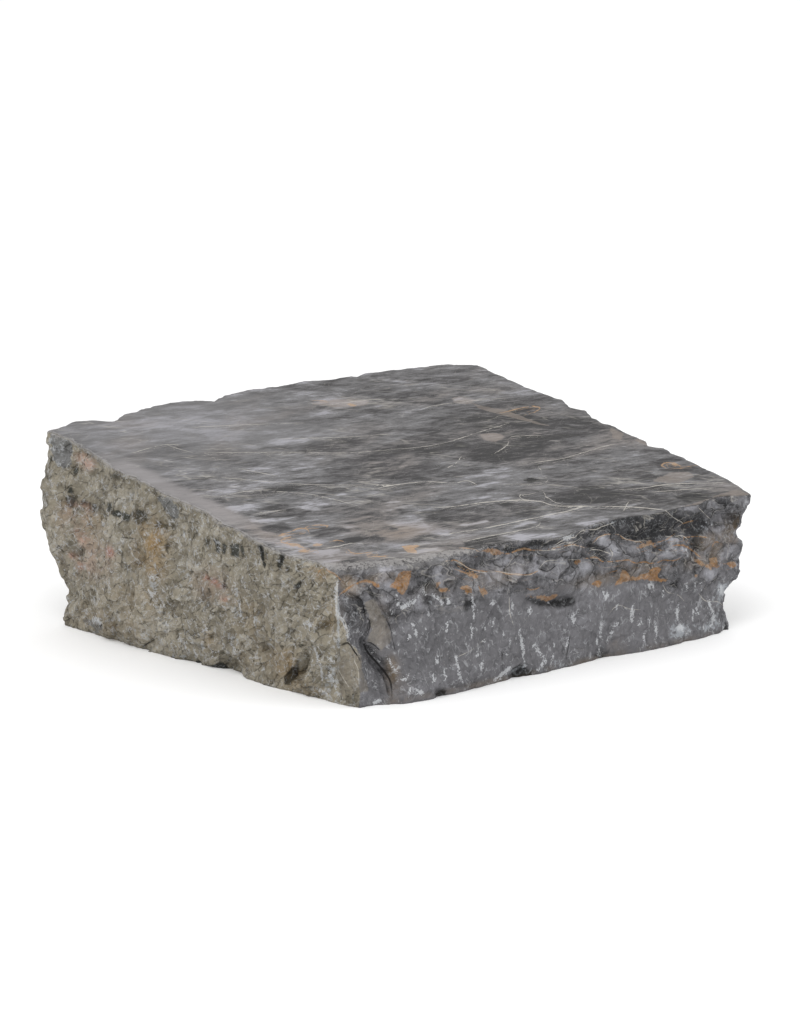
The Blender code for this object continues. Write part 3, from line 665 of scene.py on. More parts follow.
        (-40, 2, -1, [(357, 192), (364, 192), (364, 184), (359, 184)]),
        (-90, 3, -8, [(37, 9), (66, 19), (75, 25), (89, 27), (104, 16), (108, -4), (40, -4)]),
        (-70, 3, -4, [(10, 16), (22, 16), (26, 6), (12, 4)]),
        (-26, 4, -2, [(48, 70), (58, 76), (63, 66), (54, 56), (46, 60)]),
        (12, 5, 2, [(-90, 44), (-60, 56), (-44, 44), (-70, 26), (-92, 30)]),
        (10, 6, 2, [(150, 70), (180, 72), (196, 52), (192, 20), (150, 24), (146, 50)]),
        (10, 5, 2, [(146, 262), (176, 264), (188, 252), (180, 240), (152, 244)]),
        (10, 6, 2, [(-30, 200), (10, 204), (24, 180), (0, 160), (-30, 168)]),
        (-16, 4, -2, [(-398, 134), (-372, 138), (-362, 126), (-384, 118)]),
        (-16, 4, -2, [(30, 150), (56, 154), (60, 120), (40, 112), (30, 124)]),
        (-20, 3, -2, [(-190, 196), (-170, 184), (-176, 172), (-192, 180)]),
        (-24, 2, -2, [(-72, 214), (-60, 216), (-62, 206), (-74, 206)]),
        (-30, 2, -2, [(-84, 192), (-74, 194), (-76, 186), (-86, 186)]),
        (-20, 4, -1, [(424, 30), (452, 34), (456, 18), (430, 12)]),
        (-14, 3, -1, [(-320, 350), (-250, 336), (-240, 326), (-300, 334)]),
    ],
}

# White powder crushed into the stone: (along, up, half length, half width, amount).
POWDER = {
    "front": [
        (-110, 14, 44, 12, 50), (-20, 8, 60, 12, 30), (280, 28, 30, 20, 34),
        (380, 60, 40, 40, 36), (70, 30, 60, 30, 16), (400, 84, 24, 14, 50),
        (-280, 30, 90, 30, 14), (330, 20, 110, 16, 30), (-60, 218, 40, 12, 16),
        (90, 248, 60, 6, 40), (60, 205, 16, 14, 20), (-440, 236, 60, 8, 26),
        (-320, 170, 30, 14, 20), (-495, 150, 8, 40, 40),
        (350, 206, 30, 12, 30), (216, 176, 20, 14, 20), (400, 180, 16, 30, 24),
        (-518, 150, 5, 60, 60),
    ],
    "left": [
        (124, 122, 14, 16, 50), (178, 122, 8, 18, 46), (110, 72, 22, 14, 36),
        (322, 138, 14, 16, 34), (386, 66, 24, 36, 40), (20, 48, 30, 20, 28),
        (-108, 132, 18, 18, 60), (-96, 94, 12, 8, 40), (-74, 66, 14, 10, 40),
        (-276, 34, 14, 12, 36), (398, 190, 6, 44, 60), (350, 40, 50, 24, 30),
        (60, 80, 50, 20, 24), (-390, 340, 30, 26, 20), (250, 60, 40, 24, 20),
        (0, 20, 60, 16, 20), (146, 40, 40, 20, 12), (300, 226, 60, 14, 24),
        (-240, 196, 30, 14, 16), (-190, 90, 40, 20, 10), (205, 84, 40, 12, 20),
    ],
}

# Soft smudges, clouds and painted shade: (along, up or back, half length, half width,
# lightness). Most are the stone's own clouds and smudges; on the front the dark ones
# under the rim are partly painted shadow and the dark spot at the notch by the right end
# is painted shade. The long dark strips at the foot of the front and the left make the
# stone darker towards the bottom.
CLOUDS_AND_SHADE = {
    "top": [
        (-70, 120, 40, 20, -12), (60, -330, 80, 26, -10), (-290, 160, 120, 50, -6),
        (-260, 330, 220, 110, 17), (-40, 250, 200, 90, 2), (-260, -290, 120, 60, -4),
        (-400, -330, 90, 60, -2), (200, 240, 150, 90, 2), (350, 330, 200, 80, -6),
        (150, 120, 160, 90, -8), (240, -260, 160, 80, -8), (140, 310, 45, 25, 12),
        (-330, 250, 60, 24, -10), (-470, -300, 30, 90, 12), (-180, 60, 50, 16, 10),
        (-90, 190, 60, 20, 10), (-380, 130, 50, 18, -8), (380, 0, 160, 200, -18),
        (60, -60, 220, 90, -10), (320, -330, 200, 90, -14), (200, 40, 200, 120, -12),
        (-120, -30, 160, 50, -4), (-240, -180, 70, 30, -8), (-30, -190, 90, 26, -8),
    ],
    "front": [
        (240, 222, 190, 17, -8), (430, 206, 28, 14, -14), (-10, 170, 34, 16, 10),
        (-330, 80, 90, 50, -12), (-60, 75, 90, 26, 2), (330, 110, 70, 26, -2),
        (-260, 235, 50, 14, 10), (-400, 170, 30, 26, -4), (440, 120, 16, 30, 10),
        (-120, 170, 50, 14, -4), (440, 250, 26, 20, 10), (-60, 214, 60, 18, -10),
        (-470, 185, 22, 20, -8), (-420, 238, 80, 12, 10), (0, 6, 460, 8, -10),
        (20, 218, 110, 24, -4), (-200, 190, 200, 26, 2), (60, 190, 60, 20, -6),
    ],
    "left": [
        (-200, 247, 170, 12, -18), (90, 236, 80, 14, -18), (240, 170, 160, 90, -6),
        (-85, 278, 50, 13, -10),
        (-300, 330, 22, 9, 14), (40, 130, 16, 20, -6), (375, 150, 26, 18, -8),
        (-120, 45, 34, 14, 6), (280, 45, 24, 26, -14), (-390, 90, 30, 40, -6),
        (0, 5, 460, 7, -12), (350, 245, 60, 10, 6), (430, 80, 26, 36, -2),
        (225, 238, 34, 16, -10), (-345, 255, 20, 26, -10), (420, 60, 24, 40, -8),
    ],
}

# Soft warm, ochre-brown tints: (along, up or back, half length, half width, amount).
WARM_TINTS = {
    "top": [
        (-280, -240, 60, 50, 46), (-260, -290, 70, 30, 50), (-470, -60, 26, 110, 40),
        (-470, -180, 30, 60, 46), (200, -40, 90, 40, 26), (300, 0, 60, 40, 30),
        (-70, -30, 60, 40, 28), (60, 170, 60, 40, 16), (-230, -380, 120, 30, 34),
        (-440, -330, 60, 60, 34), (470, -60, 40, 90, 30), (440, -400, 60, 50, 30),
        (120, 310, 60, 30, 20), (400, 120, 70, 40, 20), (-360, -10, 60, 20, 10),
    ],
    "front": [
        (-425, 150, 22, 40, 22), (-400, 62, 16, 24, 40), (140, 150, 120, 14, 24),
        (350, 145, 60, 14, 24), (430, 200, 40, 22, 24), (380, 175, 50, 22, 36),
        (135, 25, 26, 16, 24), (-200, 190, 120, 18, 16), (-420, 228, 70, 10, 26),
        (150, 168, 20, 8, 40), (420, 172, 14, 10, 40), (-390, 20, 26, 26, 30),
        (0, 4, 460, 7, 20),
    ],
    "left": [
        (-122, 190, 50, 60, 84), (-90, 222, 40, 22, 40), (-280, 215, 34, 22, 40),
        (-380, 220, 34, 24, 34),
        (270, 55, 40, 34, 60), (345, 232, 30, 14, 70), (430, 225, 24, 16, 60),
        (50, 60, 22, 18, 40), (-160, 90, 90, 30, 24), (160, 130, 60, 40, 18),
        (-240, 40, 120, 30, 22), (200, 60, 90, 40, 14), (380, 160, 40, 26, 30),
        (-100, 205, 20, 12, 40), (320, 20, 60, 16, 30),
    ],
}

# Soft pink tints, made the same way.
PINK_TINTS = {
    "top": [(-470, -70, 24, 90, 24), (-260, -270, 80, 40, 20), (343, 216, 34, 30, 170),
            (247, 26, 26, 24, 40), (396, -303, 50, 22, 24)],
    "left": [
        (-300, 324, 24, 14, 60), (-318, 240, 26, 16, 40),
        (-315, 182, 22, 9, 60), (-235, 170, 13, 9, 95), (-320, 125, 20, 10, 70),
        (-350, 145, 12, 8, 50), (45, 170, 9, 6, 60), (65, 168, 12, 6, 90),
        (80, 162, 8, 5, 60), (100, 141, 22, 6, 55), (-330, 210, 60, 30, 24),
        (-300, 150, 70, 40, 26), (-310, 330, 30, 10, 24), (60, 160, 60, 30, 16),
    ],
}

# White bruises left by the chisel, and white powder: chains of (along, up, radius).
BRUISES = {
    "front": [
        [(-520, 240, 2), (-521, 218, 3), (-523, 188, 2), (-508, 168, 2), (-499, 148, 3),
         (-497, 130, 1)],
        [(-352, 134, 4)], [(-362, 115, 4)], [(-326, 121, 3)], [(-308, 134, 2)],
        [(-274, 126, 3), (-274, 114, 3)], [(-216, 161, 1), (-214, 145, 4), (-212, 126, 2)],
        [(-218, 113, 2), (-217, 100, 4), (-218, 88, 1)], [(-187, 103, 3)],
        [(-165, 116, 2), (-165, 106, 3)], [(-171, 146, 3)], [(-122, 137, 1), (-120, 118, 2)],
        [(-82, 122, 3), (-81, 111, 1)], [(-189, 78, 3)], [(-296, 69, 3), (-295, 58, 2)],
        [(-256, 65, 2), (-247, 38, 4), (-239, 14, 1)], [(-207, 58, 3)],
        [(-194, 39, 3), (-194, 26, 1)], [(-69, 55, 5), (-60, 38, 2), (-40, 22, 2)],
        [(-104, 90, 1), (-98, 55, 3), (-91, 22, 1)], [(-306, 39, 3), (-306, 26, 1)],
        [(-279, 45, 1), (-279, 28, 3)], [(-359, 26, 3), (-359, 14, 1)],
        [(-308, 182, 2), (-295, 170, 4), (-282, 161, 2)], [(-276, 163, 2), (-269, 167, 4)],
        [(-330, 193, 3), (-323, 184, 2)], [(-401, 166, 3)],
        [(-391, 190, 2), (-386, 175, 3), (-378, 169, 4), (-354, 175, 4), (-339, 182, 2)],
        [(-409, 87, 0), (-398, 70, 2), (-389, 62, 3)], [(-380, 42, 1), (-366, 42, 3), (-360, 50, 1)],
        [(103, 120, 5), (103, 113, 4)], [(219, 116, 3), (219, 106, 1)],
        [(242, 103, 3), (243, 94, 2)], [(166, 86, 2), (166, 76, 5), (166, 61, 2)],
        [(24, 95, 3), (24, 84, 5), (25, 74, 1)], [(282, 72, 2), (281, 58, 4), (282, 40, 1)],
        [(226, 50, 1), (227, 38, 4), (226, 18, 1)], [(318, 63, 3), (318, 40, 1)],
        [(286, 31, 6), (292, 24, 5)], [(360, 72, 3), (361, 58, 4)], [(90, 70, 3), (90, 40, 1)],
        [(117, 63, 1), (118, 38, 3)], [(303, 110, 3), (303, 96, 1)],
        [(324, 107, 1), (324, 92, 3)], [(-26, 29, 3), (-26, 15, 1)], [(-46, 24, 4)],
        [(184, 54, 3)], [(208, 56, 3), (208, 47, 1)], [(80, 40, 3)], [(107, 34, 3)],
        [(87, 27, 1), (87, 12, 3)], [(128, 60, 3)], [(389, 86, 6), (396, 74, 4)],
        [(364, 51, 4), (372, 38, 5), (365, 20, 2)], [(398, 12, 4)], [(325, 60, 4), (332, 50, 3)],
        [(129, 94, 3)], [(190, 60, 2), (191, 54, 3)], [(340, 104, 2), (344, 92, 2)],
        [(10, 55, 1), (10, 38, 3)], [(-139, 54, 2), (-136, 45, 3)], [(300, 170, 3), (308, 160, 1)],
        [(-160, 8, 4), (-145, 14, 5), (-130, 22, 4)], [(-60, 8, 3), (-42, 20, 2)],
        [(-440, 10, 4), (-425, 16, 3)], [(-345, 20, 3), (-332, 13, 4)], [(362, 208, 3)],
        [(-12, 240, 3), (6, 234, 4), (22, 238, 2)], [(198, 28, 3), (200, 18, 1)],
    ],
    "left": [
        [(-128, 150, 2), (-112, 146, 4), (-98, 148, 2)], [(-124, 118, 3), (-112, 114, 5),
         (-102, 122, 2)], [(-108, 96, 2), (-96, 90, 3)], [(-84, 72, 2), (-66, 62, 3)],
        [(4, 36, 3), (14, 26, 4)], [(133, 145, 2), (138, 122, 3), (132, 104, 1)],
        [(178, 130, 2), (176, 110, 3)], [(306, 139, 2), (334, 137, 3)],
        [(-285, 38, 4), (-268, 32, 4)], [(62, 40, 2), (76, 46, 1)],
        [(344, 86, 3), (352, 70, 4), (360, 50, 4)], [(380, 60, 4), (392, 40, 4)],
        [(372, 92, 3), (388, 84, 4)], [(345, 30, 3), (370, 22, 4)],
        [(120, 175, 1), (128, 165, 3)], [(-240, 140, 2), (-228, 134, 2)],
        [(110, 66, 2), (122, 58, 3)], [(30, 70, 2), (40, 78, 3)],
        [(200, 165, 1), (215, 170, 3)], [(392, 180, 2), (396, 168, 3)],
    ],
}

# Deep cracks: (width, depth and step down on the right in millimetres, points).
CRACKS = {
    "front": [
        (1.4, 5, 5, [(-491, 210), (-480, 204), (-467, 195), (-462, 180), (-458, 164),
                     (-451, 160), (-448, 152), (-451, 139), (-459, 129), (-462, 122)]),
        (4.0, 8, 9, [(-463, 126), (-461, 116), (-452, 101), (-435, 83), (-418, 64),
                     (-406, 49), (-401, 37), (-399, 21)]),
        (0.9, 3, 0, [(-459, 162), (-460, 146), (-460, 132)]),
        (1.2, 3, 3, [(-462, 122), (-446, 118), (-432, 107), (-428, 103)]),
        (0.8, 2, 3, [(-429, 193), (-421, 174), (-412, 155), (-403, 136), (-398, 117),
                     (-392, 96)]),
        (2.0, 5, 3, [(-455, 219), (-446, 209), (-442, 201), (-435, 196), (-426, 177)]),
        (1.0, 2, 0, [(-490, 191), (-480, 179), (-485, 157)]),
        (1.6, 3, 0, [(-146, 52), (-145, 22)]),
        (1.6, 3, 0, [(16, 58), (8, 22)]),
        (1.6, 3, 3, [(-60, 190), (-40, 182), (-20, 190)]),
    ],
    "left": [
        (2.4, 4, 0, [(-148, 9), (-130, 19), (-108, 32)]),
        (3.4, 5, 0, [(404, 114), (424, 123), (433, 120), (444, 111), (454, 103)]),
        (1.8, 3, 0, [(-200, 203), (-165, 206)]),
        (1.8, 3, 0, [(-40, 60), (-20, 66), (0, 58)]),
    ],
}

# The left side's beige ends at these (height, -y) points; grey shows past them.
BEIGE_EDGE = [(0, 455), (115, 455), (125, 426), (150, 418), (165, 401), (245, 401), (320, 398)]
# Grey windows in the beige of the left side: outlines of (-y, z).
GREY_WINDOWS = [
    [(-420, 340), (-405, 366), (-358, 368), (-340, 364), (-345, 337), (-346, 315),
     (-360, 306), (-373, 302), (-395, 307), (-403, 322)],
    [(-92, 290), (-66, 300), (-39, 288), (-30, 266), (-48, 262), (-78, 277)],
    [(-320, 30), (-270, 40), (-256, 24), (-278, 14)],
]

# What the mesh points carry for the stone's nodes, up to three numbers under a name:
# signed distances to lines and their widths, and how far inside outlines a point is, in
# millimetres, then tints, the drawn tones with some painted shade among them, and shares.
FIELDS = {
    "vein_light": ("light_a", "light_a_width", "light_b"),
    "vein_ochre": ("light_b_width", "ochre", "ochre_width"),
    "vein_crack": ("crack", "crack_width", "bruise"),
    "patches": ("ochre_in", "taupe_in", "dark_in"),
    "tints": ("cloud", "warm", "pink"),
    "ground": ("polish", "beige", "ridge"),
    "rim": ("haze", "crush", "powder"),
    "skin": ("calm", "banded"),
}

# Colours as they look in soft white light, 0 to 255, and the share of them that the
# stone reflects, since the studio light is stronger than that.
STONE_SHARE = 0.74
HONED_DEEP = (60, 59, 59)
HONED_DARK = (81, 79, 80)
HONED_MIDDLE = (121, 120, 121)
HONED_LIGHT = (172, 171, 177)
HONED_WARM = (148, 134, 122)
HONED_HAZE = (155, 151, 151)
GREY_DARK = (58, 58, 60)
GREY_MIDDLE = (114, 113, 116)
GREY_LIGHT = (170, 170, 176)
BEIGE_DARK = (86, 80, 68)
BEIGE_MIDDLE = (157, 150, 134)
BEIGE_LIGHT = (206, 201, 190)
SMUDGE = (62, 65, 60)
WARM = (160, 133, 92)
OCHRE_DARK = (138, 102, 62)
OCHRE = (178, 132, 84)
TAN = (200, 168, 132)
TAUPE = (150, 139, 130)
CLAY = (152, 144, 131)
CLAY_DARK = (112, 106, 96)
NEUTRAL = (128, 128, 124)
PINK = (196, 140, 122)
WHITE = (212, 214, 217)
CREAM = (202, 197, 188)
POWDERED = (188, 193, 198)
CRUSHED = (176, 173, 171)
SHADOW = (26, 26, 25)

# The honed top's noises: scale along, across and up, turn about the upright, shift,
# detail, roughness and bend.
HONED_NOISES = {
    "drift": ((3.6, 9.0, 1.0), -8, (0, 0, 0), 5.0, 0.58, 0.7),
    "streak": ((12.0, 62.0, 1.0), -6, (0, 0, 0), 6.0, 0.68, 0.6),
    "thin": ((34.0, 120.0, 1.0), -3, (0, 0, 0), 3.0, 0.65, 0.4),
    "slant": ((14.0, 52.0, 1.0), -34, (0, 0, 0), 4.0, 0.62, 0.4),
    "puffs": ((9.0, 17.0, 1.0), -14, (3, 1, 0), 6.0, 0.62, 0.8),
    "gloom": ((7.0, 15.0, 1.0), -8, (9, 5, 0), 6.0, 0.62, 0.8),
    "brown": ((4.0, 9.0, 1.0), 12, (7, 0, 0), 4.0, 0.5, 0.0),
}
# What they add to the top's tone: (middle, amount).
HONED_PARTS = {
    "drift": (0.5, 1.00), "lit": (0.0, 0.38), "dim": (0.0, -0.30), "streak": (0.5, 1.75),
    "thin": (0.5, 1.30), "slant": (0.5, 1.25), "fine": (0.5, 0.60),
}
HONED_TONE = 0.385                        # the top's middle tone
HONED_SPREAD, HONED_BASE = 0.64, 0.20     # the tone's place on the ramp of colours
HONED_STOPS = ((0.0, HONED_DEEP), (0.17, HONED_DARK), (0.49, HONED_MIDDLE), (0.89, HONED_LIGHT))
QUIET = -0.58                             # how much calmer the top is at the back left
# Hairlines of the top: turn, scale, level of the noise, half width and share.
HAIRLINES = (
    (-40.0, (2.2, 13.0, 1.0), 0.47, 0.009, 0.34),
    (-34.0, (2.8, 19.0, 1.0), 0.54, 0.011, 0.32),
    (-46.0, (2.6, 10.0, 1.0), 0.56, 0.008, 0.32),
    (-14.0, (2.4, 18.0, 1.0), 0.50, 0.007, 0.30),
    (44.0, (2.5, 11.0, 1.0), 0.52, 0.004, 0.14),
)

# Sizes in metres of the facets and knobs of the broken sides, and how much they bend.
BIG_FACET, BIG_BEND = 0.030, 0.9
SMALL_FACET, SMALL_BEND = 0.0115, 1.9
KNOB_SIZE, KNOB_BEND = 0.040, 1.0
# How much calmer the smooth lower front and the band above it are.
CALM_SHARE, BAND_SHARE = -0.82, -0.55

# How strongly each layer covers the stone.
OCHRE_COVER, VEIN_COVER, BRUISE_COVER = 0.96, 0.80, 0.70
CRUMB_COVER, SHADOW_COVER, HOLLOW_SHARE = 0.55, 0.80, 0.70

# Surface: roughness and how much it varies, gloss and bumps.
SIDE_ROUGHNESS, SIDE_VARIES = 0.72, 0.20
TOP_ROUGHNESS, TOP_VARIES = 0.62, 0.16
GLOSS = 0.18
BUMP_DISTANCE, BUMP_STRENGTH = 0.0055, 0.9

# Studio: the floor, the white surroundings, the lights (name, place, watts), and the
# camera's place, angles in degrees, lens and sensor in millimetres.
FLOOR_HALF, FLOOR_GREY = 60.0, 0.93
SKY_STRENGTH = 1.08
LIGHTS = (("key", (-3.5, -2.5, 4.5), 120.0), ("fill", (3.0, -4.5, 2.6), 45.0))
LIGHT_SIZE = 3.0
LIGHT_TARGET = (0.0, 0.0, 0.2)
CAMERA_PLACE = (-5.26598, -6.07135, 1.92132)
CAMERA_AZIMUTH, CAMERA_ELEVATION = -40.914, 12.0
CAMERA_LENS, CAMERA_SENSOR = 158.2, 36.0
CAMERA_REACH = 200.0


# ---------------------------------------------------------------- shape
def smooth_step(value, low, high):
    """0 below low, 1 above high, with a smooth rise between them."""
    t = np.clip((value - low) / (high - low), 0.0, 1.0)
    return t * t * (3.0 - 2.0 * t)


def top_height(x, y):
    """Height of the honed plane above the point (x, y)."""
    return TOP_HEIGHT + TOP_RISE_X * x + TOP_RISE_Y * y


def resample(points, count):
    """Cut a polyline into count equal lengths and give their starting points."""
    legs = np.linalg.norm(np.diff(points, axis=0), axis=1)
    passed = np.concatenate(([0.0], np.cumsum(legs)))
    at = np.arange(count) * passed[-1] / count
    return np.stack([np.interp(at, passed, points[:, i]) for i in range(2)], axis=1)


def outline(rim):
    """Every column's plan point on one rim, in metres, from the front left."""
    columns = []
    for side, following in zip(SIDES, SIDES[1:] + SIDES[:1]):
        points = np.array(rim[side] + [rim[following][0]]) / 1000.0
        columns.append(resample(points, COLUMNS[side]))
    return np.concatenate(columns)


def smoothed(columns):
    """The outline with its notches evened out, side by side, with its corners kept."""
    even, start, total = np.empty_like(columns), 0, len(columns)
    for side in SIDES:
        count = COLUMNS[side]
        widest = int(SMOOTHING * count)
        for i in range(count):
            reach = min(widest, i, count - i)
            span = np.arange(start + i - reach, start + i + reach + 1) % total
            even[start + i] = columns[span].mean(axis=0)
        start += count
    return even


def outward_directions(base, top):
    """A level, outward unit vector for each column, smoothed round the corners."""
    middle = (base + top) / 2.0
    reach = 15
    chord = np.roll(middle, -reach, axis=0) - np.roll(middle, reach, axis=0)
    outward = np.stack([chord[:, 1], -chord[:, 0], np.zeros(len(chord))], axis=1)
    return outward / np.linalg.norm(outward, axis=1)[:, None]


def row_levels():
    """Share of the height at which each row lies."""
    even = np.arange(ROWS + 1) / ROWS
    crowded = 0.5 - 0.5 * np.cos(math.pi * even)
    return even + (crowded - even) * ROW_CROWDING


def perlin(points, size, shift=(0.0, 0.0, 0.0)):
    """Smooth noise from about -1 to 1 at each point."""
    return np.array([noise.noise(Vector(p)) for p in points / size + np.array(shift)])


def cells(points, size, shift=(0.0, 0.0, 0.0)):
    """Distances to the two nearest cell seeds, and the nearest seed, at each point."""
    near = np.empty(len(points))
    second = np.empty(len(points))
    seeds = np.empty((len(points), 3))
    for i, place in enumerate(points / size + np.array(shift)):
        distances, places = noise.voronoi(Vector(place))
        near[i], second[i], seeds[i] = distances[0], distances[1], places[0]
    return near, second, seeds


def facets(points, size, tilt, shift=(0.0, 0.0, 0.0)):
    """Broken facets: every cell is a plane with its own slope, so edges step."""
    seeds = cells(points, size, shift)[2]
    local = points / size + np.array(shift) - seeds
    slopes = np.array([noise.cell_vector(Vector(seed * 7.31)) for seed in seeds]) - 0.5
    return size * tilt * (local * slopes).sum(axis=1) * 2.0


def drawn_out(points):
    """Points squeezed along the grain, so noise read there is drawn out along it."""
    along = points @ GRAIN
    return points - GRAIN * along[:, None] * (1.0 - GRAIN_STRETCH)


def facing(outward, x, y):
    """How squarely each point's side faces the direction (x, y), from 0 to 1."""
    return np.clip(outward[:, 0] * x + outward[:, 1] * y, 0.0, 1.0) ** 2


def broken_relief(points, outward):
    """Height of the broken surface over the loft, as in the CAD part."""
    swell = SWELL_HEIGHT * perlin(points, SWELL_SIZE, (3.1, 7.7, 1.9))
    near = cells(points, SCAR_SIZE)[0]
    scar = SCAR_DEPTH * (SCAR_MEAN - np.maximum(0.0, 1.0 - (near / SCAR_RIM) ** 2))
    front = facing(outward, 0.0, -1.0)
    lobed = front * smooth_step(points[:, 0], -0.02, 0.10) * smooth_step(points[:, 2], 0.10, 0.15)
    relief = swell + scar * (1.0 - 1.6 * lobed)
    near, second, _ = cells(drawn_out(points), FLAKE_SIZE, (5.0, 0.0, 2.0))
    smooth_front = 1.0 - 0.55 * front * (1.0 - smooth_step(points[:, 2], 0.13, 0.17))
    return relief + FLAKE_DEPTH * (np.minimum(second - near, 0.6) - 0.3) * smooth_front


def form_relief(points, outward):
    """Sum of the named forms at each point."""
    total = np.zeros(len(points))
    along = np.stack([-outward[:, 1], outward[:, 0], outward[:, 2]], axis=1)
    for centre, height, half_along, half_up, slope in FORMS:
        offset = points - np.array(centre)
        turn = math.radians(slope)
        u = (offset * along).sum(axis=1)
        w = offset[:, 2]
        across = u * math.cos(turn) + w * math.sin(turn)
        upward = w * math.cos(turn) - u * math.sin(turn)
        deep = (offset * outward).sum(axis=1) / (half_along + half_up)
        reach = (across / half_along) ** 2 + (upward / half_up) ** 2 + deep ** 2
        total += height * np.exp(-1.4 * np.minimum(reach, 40.0) ** 1.5)
    return total


def fine_relief(points, outward):
    """Facets, scales, lobes and pits that are too small for the CAD part."""
    front = facing(outward, 0.0, -1.0)
    low_front = calm_share(points, outward)
    high_front = front - low_front
    grained = drawn_out(points)
    rough = sum(facets(grained, *facet) for facet in GRAINED_FACETS)
    rough += facets(points, *EVEN_FACET)
    near, second, _ = cells(points * np.array((0.75, 0.75, 1.25)), LOBE_SIZE, (9.0, 4.0, 1.0))
    lobes = LOBE_HEIGHT * (0.5 - np.minimum(near, 0.8) ** 2)
    lobes += LOBE_EDGE * np.minimum(second - near, 0.25) / 0.25
    pitted = cells(points, PIT_SPACING, (6.0, 6.0, 6.0))[0]
    pits = -PIT_DEPTH * np.clip(1.0 - pitted / PIT_SHARE, 0.0, 1.0)
    grit = GRIT_HEIGHT * perlin(points, GRIT_SIZE, (5.0, 5.0, 5.0))
    slab = facets(points, *SLAB_FACET)
    relief = rough * (1.0 - 0.70 * low_front - 0.20 * high_front)
    relief += slab * low_front + lobes * high_front
    relief += pits * (1.0 - front) + grit * (1.0 - 0.4 * low_front)
    return relief


# ---------------------------------------------------------------- fields
def curve(points, cuts=4):
    """A smooth curve through the points, as a finer polyline in metres."""
    p = np.array(points, float)[:, :2] / 1000.0
    ends = np.concatenate((2 * p[:1] - p[1:2], p, 2 * p[-1:] - p[-2:-1]))
    found = []
    for a, b, c, d in zip(ends, ends[1:], ends[2:], ends[3:]):
        for t in np.arange(cuts) / cuts:
            found.append(0.5 * (2 * b + (c - a) * t + (2 * a - 5 * b + 4 * c - d) * t * t
                                + (3 * b - a - 3 * c + d) * t ** 3))
    return np.array(found + [p[-1]])


def legs_near(places, line, margin):
    """For each leg of a line: the places near it, their share along it and offset from it."""
    for leg, (a, b) in enumerate(zip(line, line[1:])):
        low, high = np.minimum(a, b) - margin, np.maximum(a, b) + margin
        near = np.nonzero(((places >= low) & (places <= high)).all(axis=1))[0]
        if len(near):
            run = b - a
            offset = places[near] - a
            share = np.clip(offset @ run / max(run @ run, 1e-12), 0.0, 1.0)
            turn = run[0] * offset[:, 1] - run[1] * offset[:, 0]
            distance = np.linalg.norm(offset - share[:, None] * run, axis=1)
            yield leg, near, share, distance, np.where(turn < 0.0, -1.0, 1.0)


def vein_fields(places, veins, bedded=False):
    """Signed distance to the nearest vein and that vein's width, both in millimetres."""
    closest = np.full(len(places), 1.0)
    signed = np.full(len(places), VEIN_MARGIN)
    width = np.zeros(len(places))
    for full_width, points in veins:
        line = curve(points)
        count = len(line) - 1
        for leg, near, share, distance, side in legs_near(places, line, VEIN_MARGIN):
            through = (leg + share) / count
            taper = np.minimum(1.0, 6.0 * np.minimum(through, 1.0 - through) + 0.25)
            if bedded:
                run = line[leg + 1] - line[leg]
                taper *= ACROSS_BEDDING + ALONG_BEDDING * abs(run @ BEDDING) / np.linalg.norm(run)
            better = distance < closest[near]
            at = near[better]
            closest[at] = distance[better]
            signed[at] = (distance * side)[better]
            width[at] = (full_width * taper)[better]
    width *= 1.0 - smooth_step(closest, VEIN_FADE, VEIN_MARGIN)
    return signed * 1000.0, width


def inside_outline(places, corners, margin):
    """The places near an outline, and how far inside it they are in metres."""
    ring = np.array(corners, float) / 1000.0
    low, high = ring.min(axis=0) - margin, ring.max(axis=0) + margin
    near = np.nonzero(((places >= low) & (places <= high)).all(axis=1))[0]
    spots = places[near]
    closest = np.full(len(near), 1.0)
    within = np.zeros(len(near), bool)
    for a, b in zip(ring, np.roll(ring, -1, axis=0)):
        run = b - a
        offset = spots - a
        share = np.clip(offset @ run / max(run @ run, 1e-12), 0.0, 1.0)
        closest = np.minimum(closest, np.linalg.norm(offset - share[:, None] * run, axis=1))
        if run[1] != 0.0:
            crossed = (a[1] > spots[:, 1]) != (b[1] > spots[:, 1])
            at = a[0] + (spots[:, 1] - a[1]) * run[0] / run[1]
            within ^= crossed & (spots[:, 0] < at)
    return near, np.where(within, closest, -closest)


def patch_field(places, patches, margin=PATCH_MARGIN):
    """Millimetres inside the nearest patch, negative outside it."""
    field = np.full(len(places), -margin)
    for chain in patches:
        if len(chain[0]) == 2:
            near, depth = inside_outline(places, chain, margin)
            field[near] = np.maximum(field[near], depth)
            continue
        if len(chain) == 1:
            chain = chain + [(chain[0][0] + 1, chain[0][1], chain[0][2])]
        chain = np.array(chain, float) / 1000.0
        reach = margin + chain[:, 2].max()
        for leg, near, share, distance, _ in legs_near(places, chain[:, :2], reach):
            radius = chain[leg, 2] + (chain[leg + 1, 2] - chain[leg, 2]) * share
            field[near] = np.maximum(field[near], radius - distance)
    return field * 1000.0


def shade_fields(places, shades):
    """Lightness, in hundredths, and relief, in metres, of the drawn shades."""
    lightness, relief = np.zeros(len(places)), np.zeros(len(places))
    for amount, soft, height, corners in shades:
        near, depth = inside_outline(places, corners, PATCH_MARGIN)
        lightness[near] += amount / 100.0 * smooth_step(depth, -soft / 1000.0, soft / 1000.0)
        relief[near] += height / 1000.0 * smooth_step(depth, -0.003, 0.008)
    return lightness, relief


def soft_field(places, blobs):
    """Sum of soft blobs, in hundredths."""
    total = np.zeros(len(places))
    for along, up, half_along, half_up, amount in blobs:
        u = (places[:, 0] - along / 1000.0) * 1000.0 / half_along
        v = (places[:, 1] - up / 1000.0) * 1000.0 / half_up
        total += amount / 100.0 * np.exp(-np.minimum((u * u + v * v) ** 1.4, 60.0))
    return total


